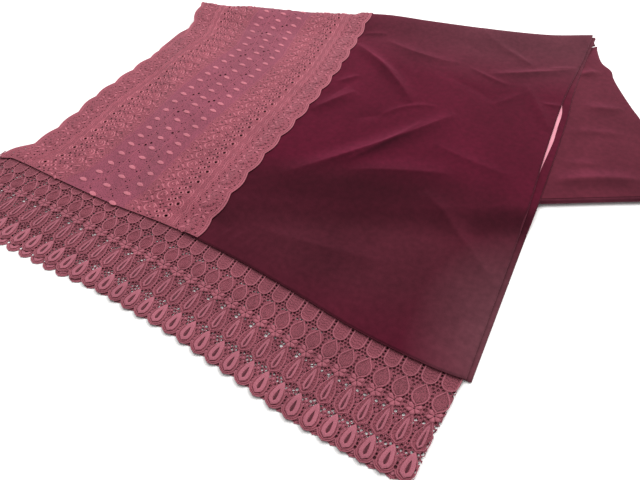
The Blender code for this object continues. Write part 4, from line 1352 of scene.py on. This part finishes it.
def band_outline(layer, left, right, smooth_left, smooth_right, hem, folded):
    """Plan outline of a band, from its near hem to the far fold, or round that if it is folded."""
    v = np.linspace(0, 1, OUTLINE_ALONG + 1)
    sides = []
    for edge in (0.0, 1.0):
        x, y = half_point(left, right, hem, np.full_like(v, edge), v)
        if folded:
            x, y = over_fold(layer, x, y, OUTLINE_FOLD)
        else:
            y = mix(hem(x), y, UNDER_BAND_ENDS)
        sides.append(np.column_stack([x, y]))
    across = np.linspace(0, 1, OUTLINE_ACROSS + 1)[1:-1]
    near_x = mix(sides[0][0, 0], sides[1][0, 0], across)
    near = np.column_stack([near_x, hem(near_x)])
    if folded:
        start_x, start_y = half_point(smooth_left, smooth_right, hem, across, np.ones_like(across))
        far = np.column_stack(layer.past_fold(start_x, start_y, 1.0))
    else:
        far_x = mix(sides[0][-1, 0], sides[1][-1, 0], across)
        far = np.column_stack([far_x, mix(hem(far_x), fold_y(far_x), UNDER_BAND_ENDS)])
    return np.concatenate([near, sides[1], far[::-1], sides[0][::-1]])


def draw_scallops(relief):
    """A fan flower in every scallop, with slits in painted shade, leaves, and beads of thread with a
    painted highlight round it.
    """
    for k in repeats(SCALLOP):
        middle = (k + 0.5) * SCALLOP
        heart = np.array([FAN_HEART, middle])
        for turn in FAN_TURNS:
            for turned, out, length, width, height, slot, shape in FAN_PARTS:
                angle = math.radians(turn + turned)
                toward = np.array([-math.cos(angle), math.sin(angle)])
                facing = math.atan2(toward[1], toward[0])
                relief.leaf(heart + toward * out, length, width, facing, height, slot, BAND_FACE, shape)
        for side in (-1, 1):
            for inward, along, length, width, turn, height in SCALLOP_LEAVES:
                relief.leaf((inward, middle + side * along), length, width, side * turn, height,
                            base=BAND_FACE)
        relief.leaf(heart, *FAN_KNOT, base=BAND_FACE)
        inward, reach_in, reach_along = FAN_BEADS
        for turn in FAN_BEAD_TURNS:
            angle = math.radians(turn)
            bead = (inward - reach_in * math.cos(angle), middle + reach_along * math.sin(angle))
            relief.leaf(bead, *FAN_BEAD, SHINE_SLOT, BAND_FACE)
    along = np.arange(*BAND_ALONG, WAVY_STEP)
    for inward, swing in WAVY_CORDS:
        wavy = inward + swing * np.sin(4 * np.pi * along / SCALLOP)
        relief.tube(np.column_stack([wavy, along]), WAVY_RADIUS, BAND_FACE, 4)


def draw_rings(relief):
    """Rings, scrolls and small leaves between the scallops and the middle field; the flat leaves are
    painted shade in the gaps between rings.
    """
    for k in repeats(FIELD_PITCH):
        middle = k * FIELD_PITCH
        for inward, along, radius, thick in BORDER_RINGS:
            relief.ring((inward, middle + along), radius, thick, BAND_FACE, LOOP_SLOT)
        for inward, along, radius, start, end, count, thick, slot in BORDER_ARCS:
            scroll = arc((inward, middle + along), radius, start, end, count)
            relief.tube(scroll, thick, BAND_FACE, 4, slot=slot)
        for inward, along, length, width, turn, height, slot, shape in BORDER_LEAVES:
            relief.leaf((inward, middle + along), length, width, turn, height, slot, BAND_FACE, shape)


def draw_field(relief):
    """Middle field: columns of worked dashes with a painted highlight, between fine cords; across is from
    the left edge.
    """
    length, width, height = DASH
    for column in DASH_COLUMNS:
        for k in repeats(FIELD_PITCH):
            along = (k + DASH_SHIFTED * (column > DASH_COLUMNS[0])) * FIELD_PITCH
            along += CHANCE.normal(0, DASH_STRAYS)
            relief.leaf((column, along), length, width, CHANCE.normal(*DASH_LEAN), height,
                        SHINE_SLOT, BAND_FACE)
    along = np.arange(*BAND_ALONG, FIELD_CORD_STEP)
    for inward in FIELD_CORDS:
        relief.tube(np.column_stack([np.full_like(along, inward), along]), FIELD_CORD_RADIUS, LACE, 3)


def band_ground(left, right, outline, folded, opening, spacing):
    """Plan points and faces of a band's ground, and which of its faces lie in the middle field."""
    holes = band_holes(left, right)
    for share, along in SEE_THROUGH:
        x = mix(left(along), right(along), share)
        if not folded:
            x, along = x + SEEN_ASLANT[0], along + SEEN_ASLANT[1]
        holes = [hole for hole in holes if math.hypot(hole[0] - x, hole[1] - along) > SEE_THROUGH_CLEAR]
        for side in (-1, 1):
            holes.append((x + side * SEE_THROUGH_PAIR[0], along + side * SEE_THROUGH_PAIR[1], opening))
    holes = [(x, y, size, size) for x, y, size in holes
             if inside_outline(x, y, outline, size + EDGE_CLEAR)]
    plan, faces = used_only(*pierced(outline, holes, spacing, HOLE_CLEAR))
    middles = np.array([plan[face].mean(axis=0) for face in faces])
    starts, ends = left(middles[:, 1]), right(middles[:, 1])
    across = (middles[:, 0] - starts) / (ends - starts)
    return plan, faces, np.flatnonzero(np.abs(across - 0.5) < FIELD_SHARE / 2)


def band_works(left, right, inside):
    """Raised work of the upper band: (x, y, height, faces, slots, whether its faces are turned)."""
    placed = []
    for side, draws in ((-1, (draw_scallops, draw_rings)), (-1, (draw_field,)),
                        (1, (draw_scallops, draw_rings))):
        relief = Relief(lambda inward, along: inside(*band_plan(left, right, inward, along, side)))
        for draw in draws:
            draw(relief)
        drawn, faces, slots = relief.whole()
        x, y = band_plan(left, right, drawn[:, 0], drawn[:, 1], side)
        placed.append((x, y, drawn[:, 2], faces, slots, side < 0))
    return placed


def add_band(name, layer, left, right, smooth_left, smooth_right, hem, folded, opening, spacing):
    """A lace band: its ground with holes, its edge cords, and its raised work if it is the upper one."""
    def inside(x, y):
        room = -UNDER_CORDS_STOP
        if folded:
            room = math.pi * layer.radius(x, fold_y(x)) + FOLD_LIP - RELIEF_STOPS
        past_end = (y - fold_y(x)) * math.cos(FOLD_ANGLE)
        return (y - hem(x) > RELIEF_STOPS) & (past_end < room)

    outline = band_outline(layer, left, right, smooth_left, smooth_right, hem, folded)
    plan, ground, field = band_ground(smooth_left, smooth_right, outline, folded, opening, spacing)
    outer = layer.place(plan[:, 0], plan[:, 1], layer.thick + 0 * plan[:, 0])
    inner = layer.place(plan[:, 0], plan[:, 1], layer.thick - BAND_SHEET + 0 * plan[:, 0])
    points, faces = closed_wall(outer, inner, ground)
    slots = wall_slots(len(ground), len(faces))
    for k in field:
        slots[k] = slots[k + len(ground)] = FIELD_SLOT

    placed = band_works(smooth_left, smooth_right, inside) if folded else []
    cords = Relief(inside)
    along = np.arange(*BAND_ALONG, EDGE_CORD_STEP)
    for edge, sign in ((left, 1), (right, -1)):
        for inward, radius in EDGE_CORDS:
            cords.tube(np.column_stack([edge(along) + sign * inward, along]), radius, EDGE_CORD_HEIGHT)
    drawn, more_faces, more_slots = cords.whole()
    placed.append((drawn[:, 0], drawn[:, 1], drawn[:, 2], more_faces, more_slots, True))
    for x, y, height, more_faces, more_slots, turned in placed:
        base = len(points)
        points = np.concatenate([points, layer.place(x, y, height)])
        faces += [[base + i for i in (face[::-1] if turned else face)] for face in more_faces]
        slots += more_slots
    points[:, 2] = np.maximum(points[:, 2], LIES_ON_SURFACE)
    return add_object(name, points, faces, BAND_MATERIALS, slots)


def lace_bands():
    top = add_band("lace_band_top_sheet", BAND_TOP, scalloped_left, band_edge, top_left, band_tips,
                   near_hem, True, TOP_OPENING, TOP_SPACING)
    under = add_band("lace_band_under_sheet", BAND_UNDER, under_left, under_band_right, under_left,
                     under_band_right, under_hem, False, UNDER_OPENING, UNDER_SPACING)
    for piece, node, below, area in ((top, "lace_band_top", "lace_band_under_sheet", 0.185),
                                     (under, "lace_band_under", "floor", 0.160)):
        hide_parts(node)


# Folded tail

def tail_point(u, v):
    """Points of the tail's plan, blended from its four edges."""
    point = []
    for axis in (0, 1):
        across = mix(tail_left(v)[axis], tail_right(v)[axis], u)
        along = mix(tail_start(u)[axis], tail_end(u)[axis], v)
        near = mix(tail_start(0.0)[axis], tail_start(1.0)[axis], u)
        far = mix(tail_end(0.0)[axis], tail_end(1.0)[axis], u)
        point.append(across + along - mix(near, far, v))
    return point


def folded_tail():
    """Rounded stack: fine top, sides that show its two doubled layers, flat below."""
    columns = np.concatenate([np.linspace(0, TAIL_HIDDEN, 26), np.linspace(TAIL_HIDDEN, 1, 49)[1:]])
    rows = np.linspace(0, 1, 101)
    wide, long = len(columns), len(rows)
    u, v = np.meshgrid(columns, rows)
    x, y = tail_point(u, v)
    z = tail_height(x, y) + ridges(TAIL_CREASES, x, y)
    order = np.arange(wide * long).reshape(long, wide)
    rim = np.concatenate([order[-1, :], order[-2::-1, -1], order[0, -2::-1], order[1:-1, 0]])
    plan = np.column_stack([x.ravel(), y.ravel()])
    level = z.ravel()
    run = np.roll(plan[rim], -1, axis=0) - np.roll(plan[rim], 1, axis=0)
    run /= np.linalg.norm(run, axis=1, keepdims=True)
    outward = np.column_stack([run[:, 1], -run[:, 0]])
    layered = np.isin(rim % wide, (0, wide - 1))
    top = np.column_stack([plan, level])
    top[rim, :2] += outward * TAIL_PROFILE[0][0]
    faces = [face[::-1] for face in grid_faces(wide, long)]
    points = [top]
    ring = rim.tolist()
    count = wide * long
    for side, end, share in TAIL_PROFILE[1:]:
        out = np.where(layered, side, end)[:, None]
        lower = list(range(count, count + len(rim)))
        points.append(np.column_stack([plan[rim] + outward * out, level[rim] * share]))
        count += len(rim)
        for k in range(len(rim)):
            after = (k + 1) % len(rim)
            faces.append([ring[k], lower[k], lower[after], ring[after]])
        ring = lower
    faces.append(ring[::-1])
    points = np.concatenate(points)
    middles = [points[face].mean(axis=0) for face in faces]
    lace = [int(side_of(m[0], m[1], *TAIL_LEFT) < TAIL_LACE) for m in middles]
    piece = add_object("tail_cloth", points, faces, [TAIL_VELVET_CLOTH, BAND_MATERIALS[GROUND_SLOT]], lace)
    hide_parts("folded_tail")


# Stage

FLOOR_HALF = 6.0
FLOOR_LEVEL = -0.0004
FLOOR_COLOUR = (0.93, 0.925, 0.92)
ROOM_LIGHT = 0.38
LIGHTS = (  # name, place, diameter, watts, colour; each aims at the origin
    ("window", (0.6, 2.1, 2.2), 2.4, 104, (1.0, 0.98, 0.97)),
    ("ceiling", (-0.9, 0.2, 2.3), 1.8, 34, (1, 1, 1)),
)


def add_floor():
    mesh = bpy.data.meshes.new("floor")
    half = FLOOR_HALF
    mesh.from_pydata([(-half, -half, 0), (half, -half, 0), (half, half, 0), (-half, half, 0)], [],
                     [(0, 1, 2, 3)])
    floor = bpy.data.objects.new("floor", mesh)
    floor.location.z = FLOOR_LEVEL
    material, _, _ = new_material("floor_white", FLOOR_COLOUR, 0.9, 0.25)
    mesh.materials.append(material)
    bpy.context.scene.collection.objects.link(floor)


def add_lights():
    world = bpy.data.worlds.new("room")
    bpy.context.scene.world = world
    world.use_nodes = True
    world.node_tree.nodes["Background"].inputs["Color"].default_value = (1, 1, 1, 1)
    world.node_tree.nodes["Background"].inputs["Strength"].default_value = ROOM_LIGHT
    for name, place, size, power, colour in LIGHTS:
        data = bpy.data.lights.new(name, "AREA")
        data.shape = "DISK"
        data.size = size
        data.energy = power
        data.color = colour
        light = bpy.data.objects.new(name, data)
        bpy.context.scene.collection.objects.link(light)
        light.location = place
        light.rotation_euler = (-Vector(place)).to_track_quat("-Z", "Y").to_euler()


def add_camera():
    data = bpy.data.cameras.new("camera")
    data.lens = CAMERA_LENS
    data.sensor_width = CAMERA_SENSOR
    data.clip_start = 0.01
    camera = bpy.data.objects.new("camera", data)
    bpy.context.scene.collection.objects.link(camera)
    x, y, z = CAMERA_PLACE
    camera.location = (x - CENTRE[0], y - CENTRE[1], z)
    camera.rotation_euler = [math.radians(turn) for turn in CAMERA_TURN]
    bpy.context.scene.camera = camera


add_floor()
folded_tail()
velvet_under()
lining_under()
velvet_top()
end_laces()
lace_bands()
add_lights()
add_camera()
bpy.context.scene.view_settings.view_transform = "Standard"
